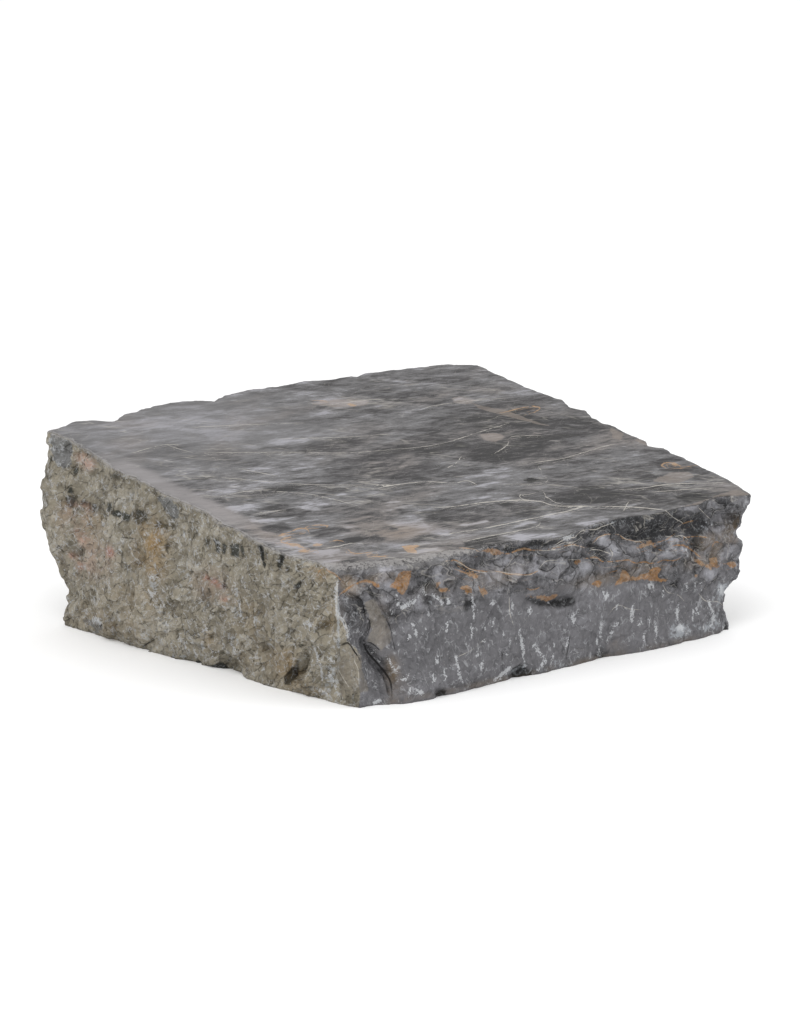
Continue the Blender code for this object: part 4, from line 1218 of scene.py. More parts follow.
def crack_relief(places, cracks):
    """Depth that the cracks cut into a side, and the steps beside them."""
    relief, lowered = np.zeros(len(places)), np.zeros(len(places))
    for width, depth, step, points in cracks:
        reach = 0.004 + width / 1000.0
        wide = max(reach, STEP_REACH if step else 0.0)
        nearest = np.full(len(places), 1.0)
        line = curve(points)
        count = len(line) - 1
        for leg, near, share, distance, side in legs_near(places, line, wide):
            cut = -depth / 1000.0 * np.clip(1.0 - distance / (reach * 0.75), 0.0, 1.0)
            relief[near] = np.minimum(relief[near], cut)
            if step:
                better = distance < nearest[near]
                at = near[better]
                nearest[at] = distance[better]
                through = (leg + share[better]) / count
                fall = np.clip(1.0 - distance[better] / wide, 0.0, 1.0) ** 1.5
                fall *= smooth_step(through, 0.0, 0.15) * (side[better] > 0.0)
                lowered[at] = -step / 1000.0 * fall
    return relief + lowered


# ---------------------------------------------------------------- mesh
def side_grid():
    """Points of the broken sides, row by row from the base, and what they carry."""
    base, top = outline(BASE_RIM), outline(TOP_RIM)
    even_base, even_top = smoothed(base), smoothed(top)
    outward = outward_directions(even_base, even_top)
    total = len(base)
    rise = top_height(top[:, 0], top[:, 1])
    level = row_levels()[:, None]
    below = level * rise
    above = (1.0 - level) * rise
    plan = even_base + (even_top - even_base) * level[:, :, None]
    plan = plan + (base - even_base) * (1.0 - smooth_step(below, 0.0, RIM_REACH))[:, :, None]
    plan = plan + (top - even_top) * (1.0 - smooth_step(above, 0.0, RIM_REACH))[:, :, None]
    points = np.concatenate((plan, below[:, :, None]), axis=2).reshape(-1, 3)
    outs = np.tile(outward, (ROWS + 1, 1))
    above, below = above.ravel(), below.ravel()
    fade = RIM_SHARE + (1.0 - RIM_SHARE) * smooth_step(np.minimum(below, above), 0.0, RIM_FADE)
    forms = form_relief(points, outs)
    relief = broken_relief(points, outs) * fade + forms * np.maximum(fade, 0.5)
    chip = perlin(points, RIM_CHIP_SIZE, (1.3, 4.2, 8.8))
    relief += RIM_CHIP_DEPTH * chip * (1.0 - smooth_step(above, 0.0, RIM_FADE))
    fine = fine_relief(points, outs)
    fine *= FINE_AT_RIM + (1.0 - FINE_AT_RIM) * smooth_step(above, 0.0, FINE_REACH)
    places, drawn = board_places(points), drawn_side(outs)
    ragged = ragged_places(points, places)
    dents = np.full(len(points), -9.0)
    for face in ("front", "left"):
        fine += drawn * crack_relief(places[face], CRACKS[face])
        fine += drawn * shade_fields(ragged[face], SHADES[face])[1]
        dents = np.maximum(dents, patch_field(ragged[face], DARK_MARKS[face]))
    fine -= DENT_DEPTH * drawn * smooth_step(dents, -2.0, 4.0)
    # Worn and chipped arrises: a rounded shoulder whose width wanders round the block.
    edge = np.concatenate((top, np.zeros((total, 1))), axis=1)
    bites = perlin(edge, 0.016, (2.0, 0.0, 0.0)) + 0.6 * perlin(edge, 0.05, (0.0, 3.0, 0.0))
    shoulder = SHOULDER_LEAST + SHOULDER_MORE * np.clip(bites, 0.0, 1.0)
    shoulder += WORN_RADIUS * worn_share(top)
    shoulder = np.tile(shoulder, ROWS + 1)
    bites = perlin(edge, 0.022, (0.0, 0.0, 6.0)) - 0.1
    foot = np.tile(FOOT_LEAST + FOOT_MORE * np.clip(bites, 0.0, 1.0), ROWS + 1)
    relief += fine - rounding(above, shoulder) - rounding(below, foot)
    points = points + outs * relief[:, None]
    worn = np.tile(worn_share(top), ROWS + 1)
    return points, {"outward": outs, "fine": fine.reshape(ROWS + 1, total), "above": above,
                    "worn": worn}


def drawn_side(outward):
    """1 on the front and the left, whose markings are drawn, and 0 elsewhere."""
    return (outward[:, 0] + outward[:, 1] < -0.10).astype(float)


def worn_share(top):
    """1 where the honed top's edge is worn round, by the front left corner."""
    front = smooth_step(-top[:, 1], 0.33, 0.38) * (1.0 - smooth_step(top[:, 0], -0.30, -0.14))
    left = 0.12 * (1.0 - smooth_step(top[:, 0], -0.47, -0.45)) * smooth_step(-top[:, 1], -0.20, 0.10)
    return np.maximum(front, left)


def rounding(distance, radius):
    """How far a rounded edge of that radius falls back at a distance from the edge."""
    inside = np.clip(1.0 - distance / radius, 0.0, 1.0)
    return radius * (1.0 - np.sqrt(np.maximum(0.0, 1.0 - inside * inside)))


def board_places(points):
    """Each point's place on the drawing boards of the top, the front and the left.

    The front's and the left's markings are drawn on upright boards that touch the
    block, and are carried on to the broken stone in straight lines from EYE.
    """
    away = points - np.array(EYE)
    front = np.array(EYE) + away * ((FRONT_BOARD - EYE[1]) / away[:, 1])[:, None]
    left = np.array(EYE) + away * ((LEFT_BOARD - EYE[0]) / away[:, 0])[:, None]
    return {
        "top": points[:, :2] + np.array(TOP_SHIFT),
        "front": front[:, (0, 2)],
        "left": np.stack([-left[:, 1], left[:, 2]], axis=1),
    }


def ragged_places(points, places):
    """The places on the boards with a little wander, so drawn outlines get ragged."""
    wander = np.stack([0.0040 * perlin(points, 0.024, broad) + 0.0022 * perlin(points, 0.009, small)
                       for broad, small in (((6.0, 2.0, 2.0), (1.0, 6.0, 2.0)),
                                            ((2.0, 2.0, 6.0), (7.0, 1.0, 2.0)))], axis=1)
    return {face: place + wander for face, place in places.items()}


def fit_to_box(points):
    """Stretch the plan to the CAD node's box and keep the top inside it."""
    low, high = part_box("marble_block")
    for axis in (0, 1):
        lowest, highest = points[:, axis].min(), points[:, axis].max()
        share = (points[:, axis] - lowest) / (highest - lowest)
        points[:, axis] = low[axis] + share * (high[axis] - low[axis])
    return points, high[2]


def inside(ring, place):
    """Whether a place on the plan is inside a ring."""
    a, b = ring, np.roll(ring, -1, axis=0)
    crosses = (a[:, 1] > place[1]) != (b[:, 1] > place[1])
    a, b = a[crosses], b[crosses]
    at = a[:, 0] + (place[1] - a[:, 1]) * (b[:, 0] - a[:, 0]) / (b[:, 1] - a[:, 1])
    return (at > place[0]).sum() % 2 == 1


def inside_points(ring, spacing, clearance):
    """Points of an even triangular pattern inside a ring, clear of its edge."""
    low, high = ring.min(axis=0), ring.max(axis=0)
    found = []
    for i, y in enumerate(np.arange(low[1], high[1], spacing * 0.866)):
        for x in np.arange(low[0] + (i % 2) * spacing / 2, high[0], spacing):
            place = np.array((x, y))
            clear = ((ring - place) ** 2).sum(axis=1).min() > clearance ** 2
            if clear and inside(ring, place):
                found.append(place)
    return np.array(found)


def cap(ring, first, spacing, clearance, next_index):
    """Triangles that fill a ring of mesh points, and the new points inside it."""
    inner = inside_points(ring, spacing, clearance)
    count = len(ring)
    plan = np.concatenate((ring, inner))
    result = delaunay_2d_cdt([Vector(p) for p in plan], [], [list(range(count))], 1, 1e-7, True)
    where = [ids[0] for ids in result[3]]
    kept = []
    for face in result[2]:
        corners = [where[v] for v in face]
        if inside(ring, plan[corners].mean(axis=0)):
            kept.append(tuple(first + i if i < count else next_index + i - count for i in corners))
    return inner, kept


def make_mesh():
    """The closed mesh of the block, with everything its points carry."""
    sides, carried = side_grid()
    total = carried["fine"].shape[1]
    sides, ceiling = fit_to_box(sides)
    top_start = ROWS * total
    sides[:total, 2] = 0.0
    rim = sides[top_start:]
    rim[:, 2] = np.minimum(top_height(rim[:, 0], rim[:, 1]), ceiling)
    faces = []
    for row in range(ROWS):
        for column in range(total):
            a, b = row * total + column, row * total + (column + 1) % total
            faces.append((a, b, b + total, a + total))
    side_faces = len(faces)
    inner, triangles = cap(rim[:, :2].copy(), top_start, TOP_SPACING, TOP_CLEARANCE, len(sides))
    honed = np.concatenate((inner, top_height(inner[:, 0], inner[:, 1])[:, None]), axis=1)
    faces += triangles
    top_faces = len(faces)
    under, triangles = cap(sides[:total, :2].copy(), 0, BASE_SPACING, BASE_CLEARANCE,
                           len(sides) + len(inner))
    faces += [face[::-1] for face in triangles]
    ground = np.concatenate((under, np.zeros((len(under), 1))), axis=1)
    points = np.concatenate((sides, honed, ground))
    mesh = bpy.data.meshes.new("marble_block_stone")
    mesh.from_pydata(points.tolist(), [], faces)
    mesh.update()
    counts = {"sides": len(sides), "honed": len(honed), "total": total}
    add_bake_map(mesh, total, side_faces, top_faces)
    add_fields(mesh, points, carried, counts)
    mesh.polygons.foreach_set("use_smooth", [True] * len(mesh.polygons))
    return mesh


def add_bake_map(mesh, total, side_faces, top_faces):
    """Lay the four sides, the top and the base out side by side, all at one scale."""
    layer = mesh.uv_layers.new(name="OFBake")
    starts = np.cumsum([0] + [COLUMNS[side] for side in SIDES])
    uv = np.zeros((len(mesh.loops), 2))
    co = np.empty(len(mesh.vertices) * 3)
    mesh.vertices.foreach_get("co", co)
    co = co.reshape(-1, 3)
    for polygon in mesh.polygons:
        for k, loop in enumerate(polygon.loop_indices):
            x, y, _ = co[mesh.loops[loop].vertex_index]
            if polygon.index < side_faces:
                row, column = divmod(polygon.index, total)
                side = int(np.searchsorted(starts, column, side="right")) - 1
                along = (column + (k in (1, 2)) - starts[side]) / COLUMNS[SIDES[side]]
                up = (row + (k > 1)) / ROWS
                uv[loop] = (0.5 + MAP_GAP + along * MAP_SCALE,
                            MAP_GAP + side * (MAP_STRIP + MAP_GAP) + up * MAP_TALL)
                continue
            on_top = polygon.index < top_faces
            across = MAP_CORNER[0] + (x if on_top else -x)
            start = MAP_GAP if on_top else 0.5 + MAP_GAP
            uv[loop] = (MAP_GAP + across * MAP_SCALE, start + (y + MAP_CORNER[1]) * MAP_SCALE)
    layer.data.foreach_set("uv", uv.ravel())


def add_fields(mesh, points, carried, counts):
    """Work out every marking field and keep it at the mesh points."""
    sides, honed = counts["sides"], counts["honed"]
    count, total = len(points), counts["total"]
    outward = np.zeros((count, 3))
    outward[:sides] = carried["outward"]
    on_top = np.zeros(count, bool)
    on_top[sides - total:sides + honed] = True
    on_side = np.zeros(count, bool)
    on_side[:sides - total] = True
    drawn = on_side & (drawn_side(outward) > 0.0)
    places = board_places(points)
    ragged = ragged_places(points, places)
    where = {"top": on_top, "front": drawn, "left": drawn}

    def patches(table):
        values = np.full(count, -12.0)
        for face, chosen in where.items():
            found = patch_field(ragged[face][chosen], table.get(face, []))
            values[chosen] = np.maximum(values[chosen], found)
        return values

    def shades():
        values = np.zeros(count)
        for face, chosen in where.items():
            values[chosen] += shade_fields(ragged[face][chosen], SHADES[face])[0]
        return values

    def blobs(table):
        values = np.zeros(count)
        for face, chosen in where.items():
            values[chosen] += soft_field(places[face][chosen], table.get(face, []))
        return values

    def veins(table):
        signed, width = np.full(count, 11.0), np.zeros(count)
        for face, chosen in where.items():
            bedded = face == "top"
            new_signed, new_width = vein_fields(places[face][chosen], table.get(face, []), bedded)
            better = new_width > width[chosen]
            at = np.nonzero(chosen)[0][better]
            signed[at], width[at] = new_signed[better], new_width[better]
        return signed, width

    first = veins({face: layers[0] for face, layers in LIGHT_VEINS.items()})
    second = veins({face: layers[1] for face, layers in LIGHT_VEINS.items()})
    ochre = veins(OCHRE_VEINS)
    crack = veins({face: [(row[0], row[3]) for row in rows] for face, rows in CRACKS.items()})
    rim = points[sides - total:sides, :2]
    polish = on_top.astype(float)
    reach = 0.0008 + 0.020 * carried["worn"]
    polish[:sides] = np.clip(1.0 - carried["above"] / reach, 0.0, 1.0)
    from_rim = np.zeros(count)
    from_rim[:sides] = carried["above"]
    for i in range(sides, sides + honed):
        from_rim[i] = math.sqrt(((rim - points[i, :2]) ** 2).sum(axis=1).min())
    crush = crushed_share(points) * np.clip(1.0 - from_rim / CRUSH_REACH, 0.0, 1.0)
    crush *= on_top | on_side
    calm, banded = np.zeros(count), np.zeros(count)
    calm[:sides] = calm_share(points[:sides], outward[:sides])
    banded[:sides] = facing(outward[:sides], 0.0, -1.0) - calm[:sides]
    values = {
        "light_a": first[0], "light_a_width": first[1],
        "light_b": second[0], "light_b_width": second[1],
        "ochre": ochre[0], "ochre_width": ochre[1], "crack": crack[0], "crack_width": crack[1],
        "ochre_in": patches(OCHRE_PATCHES), "taupe_in": patches(TAUPE_PATCHES),
        "dark_in": patches(DARK_MARKS), "bruise": patches(BRUISES),
        "cloud": blobs(CLOUDS_AND_SHADE) + shades(), "warm": blobs(WARM_TINTS), "pink": blobs(PINK_TINTS),
        "polish": polish, "beige": beige_field(points, outward, drawn, places),
        "ridge": ridges(carried["fine"], count, sides), "haze": honed_strip(points) * on_top,
        "crush": crush, "calm": calm, "banded": banded, "powder": blobs(POWDER),
    }
    for name, parts in FIELDS.items():
        put(mesh, name, [values[part] for part in parts])


def calm_share(points, outward):
    """1 on the smooth lower part of the front, 0 on rough stone."""
    level = points[:, 2] + 0.05 * smooth_step(points[:, 0], 0.05, 0.40)
    level += 0.020 * perlin(points, 0.06)
    return facing(outward, 0.0, -1.0) * (1.0 - smooth_step(level, 0.13, 0.165))


def crushed_share(points):
    """How far the top's edge is crushed: fully along the left and by the front left."""
    left = 1.0 - smooth_step(points[:, 0], -0.46, -0.43)
    front = smooth_step(-points[:, 1], 0.34, 0.38) * (1.0 - smooth_step(points[:, 0], -0.25, -0.08))
    right = 0.40 - 0.28 * smooth_step(points[:, 0], -0.05, 0.05)
    return np.maximum(np.maximum(left, front), right)


def honed_strip(points):
    """1 on the pale strip that runs along the left edge of the honed top."""
    across = 1.0 - smooth_step(points[:, 0], -0.474, -0.424)
    along = smooth_step(points[:, 1], -0.24, -0.06) * (1.0 - smooth_step(points[:, 1], 0.16, 0.34))
    return across * along


def beige_field(points, outward, drawn, places):
    """Millimetres inside the beige skin of the left side, negative in the grey."""
    left = places["left"] * 1000.0
    field = np.interp(left[:, 1], *np.array(BEIGE_EDGE, float).T) - left[:, 0]
    for corners in GREY_WINDOWS:
        near, depth = inside_outline(places["left"], corners, PATCH_MARGIN)
        field[near] = np.minimum(field[near], -depth * 1000.0)
    # Behind, the beige runs on round the corner, and the right side has flecks of it.
    behind = (-0.12 - points[:, 0]) * 80.0 + 12.0 * perlin(points, 0.12, (4.0, 4.0, 4.0))
    patchy = -7.0 + 22.0 * perlin(points, 0.16, (8.0, 4.0, 2.0))
    hidden = np.where(outward[:, 1] > outward[:, 0], behind, patchy)
    return np.clip(np.where(drawn, field, hidden), -12.0, 12.0)


def ridges(fine, count, sides):
    """How far each point of the sides stands over its neighbours, from about -1 to 1."""
    around = np.zeros_like(fine)
    for up in range(-3, 4):
        for along in range(-3, 4):
            row = np.clip(np.arange(fine.shape[0]) + up, 0, fine.shape[0] - 1)
            around += np.roll(fine[row], along, axis=1)
    values = np.zeros(count)
    values[:sides] = np.clip((fine - around / 49.0) / 0.0022, -1.5, 1.5).ravel()
    return values


def put(mesh, name, values):
    """Keep up to three numbers at every mesh point under one name."""
    kept = np.zeros((len(mesh.vertices), 3), np.float32)
    for i, part in enumerate(values):
        kept[:, i] = part
    layer = mesh.attributes.new(name, "FLOAT_VECTOR", "POINT")
    layer.data.foreach_set("vector", kept.ravel())


# ---------------------------------------------------------------- stone
def linear(color):
    """A 0 to 255 display colour as the linear colour that the stone reflects."""
    parts = [part / 255.0 for part in color]
    return tuple(STONE_SHARE * (p / 12.92 if p <= 0.04045 else ((p + 0.055) / 1.055) ** 2.4)
                 for p in parts) + (1.0,)


class Graph:
    """Short names for building one material's nodes."""

    def __init__(self, material):
        material.use_nodes = True
        self.tree = material.node_tree
        self.tree.nodes.clear()

    def node(self, kind, **settings):
        made = self.tree.nodes.new(kind)
        for name, value in settings.items():
            setattr(made, name, value)
        return made

    def put(self, socket, value):
        if isinstance(value, bpy.types.NodeSocket):
            self.tree.links.new(value, socket)
        else:
            socket.default_value = value

    def fill(self, made, **values):
        """Set inputs by name, with an underscore for each space."""
        for name, value in values.items():
            self.put(made.inputs[name.replace("_", " ")], value)
        return made

    def math(self, operation, *values, clamp=False):
        made = self.node("ShaderNodeMath", operation=operation, use_clamp=clamp)
        for socket, value in zip(made.inputs, values):
            self.put(socket, value)
        return made.outputs[0]

    def plus(self, a, b):
        return self.math("ADD", a, b)

    def times(self, first, *others):
        for other in others:
            first = self.math("MULTIPLY", first, other)
        return first

    def most(self, a, b):
        return self.math("MAXIMUM", a, b)

    def scaled(self, part, amount, base):
        """The part times an amount, plus a base."""
        return self.math("MULTIPLY_ADD", part, amount, base)

    def swing(self, part, amount, base, middle=0.5):
        """The base plus an amount for how far the part is from its middle."""
        return self.scaled(self.math("SUBTRACT", part, middle), amount, base)

    def step(self, value, low, high):
        made = self.node("ShaderNodeMapRange", interpolation_type="SMOOTHSTEP")
        self.fill(made, Value=value, From_Min=low, From_Max=high)
        return made.outputs["Result"]

    def mix(self, share, a, b):
        made = self.node("ShaderNodeMix", data_type="RGBA")
        for i, part in ((0, share), (6, a), (7, b)):
            self.put(made.inputs[i], linear(part) if isinstance(part, tuple) else part)
        return made.outputs[2]

    def coat(self, color, coating, share, cover, clamp=False):
        """The colour with a coating laid over it, by a share and no more than cover."""
        return self.mix(self.math("MULTIPLY", share, cover, clamp=clamp), color, coating)

    def ramp(self, value, *stops):
        made = self.node("ShaderNodeValToRGB")
        elements = made.color_ramp.elements
        while len(elements) < len(stops):
            elements.new(0.5)
        for element, (position, color) in zip(elements, stops):
            element.position = position
            element.color = linear(color)
        self.put(made.inputs[0], value)
        return made.outputs[0]

    def noise(self, vector, scale, detail=3.0, rough=0.5, bend=0.0):
        made = self.fill(self.node("ShaderNodeTexNoise"), Vector=vector, Scale=scale,
                         Detail=detail, Roughness=rough, Distortion=bend)
        return made.outputs["Fac"]

    def spots(self, vector, scale, low, high, detail=3.0, rough=0.5):
        """1 in the patches where a noise is high, 0 between them."""
        return self.step(self.noise(vector, scale, detail, rough), low, high)

    def threads(self, vector, scale, level, half, detail=2.0, bend=0.4):
        """1 on the thin winding lines where a noise passes a level."""
        contour = self.noise(vector, scale, detail, 0.5, bend)
        return self.step(self.math("ABSOLUTE", self.math("SUBTRACT", contour, level)), half, 0.0)

    def line(self, signed, width, soft=0.8):
        """1 on a line of that width in millimetres, fading over its soft edge."""
        far = self.math("ABSOLUTE", signed)
        half = self.times(width, 0.5)
        near = self.math("SUBTRACT", 1.0, self.step(far, half, self.plus(half, soft)))
        return self.times(near, self.step(width, 0.05, 0.5))

    def mapped(self, vector, scale=(1.0, 1.0, 1.0), turn=(0.0, 0.0, 0.0), shift=(0.0, 0.0, 0.0)):
        """The place turned first and then scaled along its new axes."""
        made = self.node("ShaderNodeMapping", vector_type="TEXTURE")
        self.put(made.inputs["Vector"], vector)
        made.inputs["Scale"].default_value = [1.0 / part for part in scale]
        made.inputs["Rotation"].default_value = [math.radians(part) for part in turn]
        made.inputs["Location"].default_value = shift
        return made.outputs[0]

    def vector(self, operation, *values, output=0):
        made = self.node("ShaderNodeVectorMath", operation=operation)
        for socket, value in zip(made.inputs, values):
            self.put(socket, value)
        return made.outputs[output]

    def parts(self, vector):
        """The three numbers of a vector or a colour."""
        made = self.node("ShaderNodeSeparateXYZ")
        self.put(made.inputs[0], vector)
        return tuple(made.outputs)

    def facets(self, vector, size, bend):
        """Tilted, sharp-edged facets: relief in metres, random share, distance to the edge."""
        wobble = self.fill(self.node("ShaderNodeTexNoise"), Vector=vector, Scale=0.9 / size,
                           Detail=2.0)
        off = self.vector("SUBTRACT", wobble.outputs["Color"], (0.5, 0.5, 0.5))
        bent = self.vector("MULTIPLY_ADD", off, (bend * size,) * 3, vector)
        first, edges = [
            self.fill(self.node("ShaderNodeTexVoronoi", feature=feature), Vector=bent,
                      Scale=1.0 / size) for feature in ("F1", "DISTANCE_TO_EDGE")]
        local = self.vector("SUBTRACT", bent, first.outputs["Position"])
        slope = self.vector("SUBTRACT", first.outputs["Color"], (0.5, 0.5, 0.5))
        relief = self.vector("DOT_PRODUCT", local, slope, output="Value")
        return relief, self.parts(first.outputs["Color"])[0], edges.outputs["Distance"]

    def fields(self):
        """Everything that the mesh points carry, by name."""
        found = {}
        for name, parts in FIELDS.items():
            read = self.node("ShaderNodeAttribute", attribute_name=name)
            found.update(zip(parts, self.parts(read.outputs["Vector"])))
        return SimpleNamespace(**found)


def stone_material():
    """Grey veined marble, honed on top and broken on the sides."""
    material = bpy.data.materials.new("marble")
    g = Graph(material)
    place = g.node("ShaderNodeTexCoord").outputs["Object"]
    f = g.fields()

    # Wander from broad to fine, as 0 to 1 and in millimetres.
    n = SimpleNamespace(wander=g.noise(place, 55.0, 5.0, 0.65), breaks=g.noise(place, 24.0, 5.0, 0.65),
                        fray=g.noise(place, 150.0, 4.0, 0.65), fine=g.noise(place, 300.0, 4.0, 0.65),
                        grit=g.noise(place, 700.0, 2.0, 0.6))
    n.wander_mm = g.scaled(n.wander, 8.0, -4.0)
    n.fray_mm = g.scaled(n.fray, 14.0, -7.0)
    n.fine_mm = g.scaled(n.fine, 14.0, -7.0)
    honed = g.scaled(g.times(f.crush, n.breaks), -0.75, f.polish)
    honed = g.step(g.scaled(n.fray, 0.5, honed), 0.56, 0.80)

    side_color, side_height = broken_stone(g, place, f, n)
    color = g.mix(honed, side_color, honed_stone(g, place, f, n))
    color = patches_and_ochre(g, color, f, n, honed)
    color = light_veins(g, color, f, n, honed)

    # White bruises, crisp where the tool struck and dusty around it.
    struck = g.plus(f.bruise, g.plus(n.fine_mm, n.fray_mm))
    struck = g.scaled(n.wander_mm, 0.8, struck)
    color = g.coat(color, WHITE, g.step(struck, -0.2, 1.4), BRUISE_COVER)

    # The crushed edge of the top: light grains that thin out away from it.
    crumbs = g.swing(n.fine, 1.3, g.swing(n.breaks, 1.5, g.swing(n.fray, 1.9, f.crush)))
    crumbs = g.step(crumbs, 0.42, 0.80)
    color = g.coat(color, CRUSHED, crumbs, CRUMB_COVER)
    dark = dark_share(g, f, n)
    color = g.coat(color, SHADOW, dark, SHADOW_COVER)

    height = g.times(side_height, g.math("SUBTRACT", 1.0, honed))
    for part, amount in ((dark, -0.5), (g.times(crumbs, n.fray), 0.35), (g.times(n.fine, honed), 0.03)):
        height = g.scaled(part, amount, height)
    bump = g.fill(g.node("ShaderNodeBump"), Strength=BUMP_STRENGTH, Distance=BUMP_DISTANCE,
                  Height=height)
    roughness = g.node("ShaderNodeMix", data_type="FLOAT")
    rough_side = g.scaled(n.fine, SIDE_VARIES, SIDE_ROUGHNESS)
    rough_top = g.scaled(g.noise(place, 14.0, 4.0, 0.6), TOP_VARIES, TOP_ROUGHNESS)
    for i, part in ((0, honed), (2, rough_side), (3, rough_top)):
        g.put(roughness.inputs[i], part)
    shader = g.fill(g.node("ShaderNodeBsdfPrincipled"), Base_Color=color, Normal=bump.outputs[0],
                    Roughness=roughness.outputs[0], Specular_IOR_Level=GLOSS)
    g.fill(g.node("ShaderNodeOutputMaterial"), Surface=shader.outputs[0])
    return material


def patches_and_ochre(g, color, f, n, honed):
    """The colour with its taupe and ochre patches and ochre veins, frayed at their edges."""
    taupe = g.plus(f.taupe_in, g.scaled(n.fray_mm, 0.35, n.wander_mm))
    taupe = g.times(g.step(taupe, -1.0, 1.5), g.scaled(n.breaks, 0.6, 0.14))
    clay = g.mix(g.step(g.scaled(n.fray, 0.5, n.breaks), 0.52, 0.90), CLAY_DARK, CLAY)
    color = g.mix(taupe, color, g.mix(honed, clay, TAUPE))
    torn = g.plus(f.ochre_in, g.scaled(n.fray_mm, 0.7, g.times(n.wander_mm, 0.7)))
    shifted = g.scaled(n.wander_mm, 0.8, f.ochre)
    ragged = g.times(f.ochre_width, g.step(n.breaks, 0.32, 0.62))
    ragged = g.scaled(n.fray_mm, 0.5, ragged)
    vein = g.times(g.line(shifted, ragged), g.step(f.ochre_width, 0.1, 0.8))
    ochre = g.most(g.step(torn, -0.4, 0.9), vein)
    shade = g.ramp(g.swing(n.fray, 1.2, n.breaks), (0.30, OCHRE_DARK), (0.50, OCHRE), (0.72, TAN))
    shade = g.coat(shade, TAN, honed, 0.65)
    holes = g.step(g.scaled(n.breaks, 0.5, n.fine), 0.60, 0.76)
    return g.mix(g.times(ochre, g.scaled(holes, -0.45, OCHRE_COVER)), color, shade)


def light_veins(g, color, f, n, honed):
    """The colour with its light veins, which wander most on the honed top."""
    kink = g.scaled(honed, 0.55, 0.22)
    bend = g.scaled(n.fray_mm, 0.10, g.times(n.wander_mm, kink))
    along = g.scaled(g.step(n.breaks, 0.36, 0.62), 0.85, 0.12)
    along = g.swing(n.fray, 1.6, along)
    first, second = [g.line(g.plus(signed, bend), g.times(width, along), 0.5)
                     for signed, width in ((f.light_a, f.light_a_width),
                                           (f.light_b, f.light_b_width))]
    return g.coat(color, CREAM, g.most(first, second), VEIN_COVER)


def dark_share(g, f, n):
    """1 in the cracks and shadowed hollows."""
    gap = g.line(g.scaled(n.wander_mm, 0.35, f.crack), g.times(f.crack_width, 0.7))
    firm = g.most(g.step(f.crack_width, 1.8, 3.4), g.step(n.breaks, 0.40, 0.62))
    gap = g.times(gap, g.scaled(firm, 0.65, 0.35))
    hollow = g.plus(f.dark_in, g.scaled(n.fray_mm, 0.6, n.wander_mm))
    return g.most(gap, g.times(g.step(hollow, -0.5, 3.0), HOLLOW_SHARE))


def honed_stone(g, place, f, n):
    """Colour of the honed top: drifting clouds, fine streaks and hairlines."""
    made = {name: g.noise(g.mapped(place, scale, (0, 0, turn), shift), 1.0, *rest)
            for name, (scale, turn, shift, *rest) in HONED_NOISES.items()}
    made["fine"] = n.fine
    for name, source, amount, low, high in (("lit", "puffs", 0.50, 0.73, 0.87),
                                            ("dim", "gloom", -0.50, 0.70, 0.84)):
        part = g.scaled(made["streak"], 0.40, g.scaled(f.cloud, amount, made[source]))
        made[name] = g.step(part, low, high)
    x, y, _ = g.parts(place)
    quiet = g.times(g.step(y, 0.02, 0.26), g.step(x, 0.12, -0.10))
    lively = g.scaled(quiet, QUIET, 1.0)
    tone = g.plus(f.cloud, HONED_TONE)
    for name, (middle, amount) in HONED_PARTS.items():
        tone = g.scaled(g.swing(made[name], amount, 0.0, middle), lively, tone)
    color = g.ramp(g.scaled(tone, HONED_SPREAD, HONED_BASE), *HONED_STOPS)
    tint = g.scaled(g.step(made["brown"], 0.50, 0.70), 0.22, g.times(f.warm, 0.8))
    color = g.coat(color, HONED_WARM, tint, g.step(tone, -0.1, 0.5), clamp=True)
    for turn, scale, level, half, share in HAIRLINES:
        drawn = g.mapped(place, scale, (0, 0, turn), (turn, 0, 0))
        thread = g.threads(drawn, 1.0, level, half, 5.0, 0.3)
        color = g.coat(color, CREAM, g.times(thread, g.spots(place, 11.0 + turn * 0.05, 0.48, 0.62)),
                       share)
    strip = g.step(g.swing(made["streak"], 0.9, f.haze), 0.10, 1.0)
    return g.coat(color, HONED_HAZE, strip, 0.72)


def broken_stone(g, place, f, n):
    """Colour and bump height of the broken sides, beige skin over grey stone."""
    rough = g.scaled(f.banded, BAND_SHARE, g.scaled(f.calm, CALM_SHARE, 1.0))
    grain = g.mapped(place, (1.0, 0.62, 1.0), (-32, 0, 0))
    # s: what the side's functions share. Knobs with creases between them are kept to
    # the upper front.
    s = SimpleNamespace(place=place, rough=rough, front=g.plus(f.banded, f.calm),
                        mottle=g.noise(place, 26.0, 6.0, 0.65, 0.3),
                        flakes=g.noise(grain, 95.0, 6.0, 0.72, 0.5))
    s.big, s.big_share, s.big_edge = g.facets(grain, BIG_FACET, BIG_BEND)
    s.small, s.small_share, s.small_edge = g.facets(grain, SMALL_FACET, SMALL_BEND)
    knob_place = g.mapped(place, (1.0, 1.0, 1.3), (0, 6, 0))
    s.knob, s.knob_share, s.knob_edge = g.facets(knob_place, KNOB_SIZE, KNOB_BEND)
    s.pillow = g.step(s.knob_edge, 0.0, 0.42)
    drawn = g.mapped(place, (1.0, 1.0, 0.45), (-28, 0, 14))
    s.scratch, s.split = scratches(g, s, f, drawn), splits(g, s, drawn)
    color = side_skin(g, s, f, n)
    color = side_edges(g, s, color)
    color = band_marks(g, s, f, color)
    return side_grains(g, s, f, n, color), side_relief(g, s, f, n)


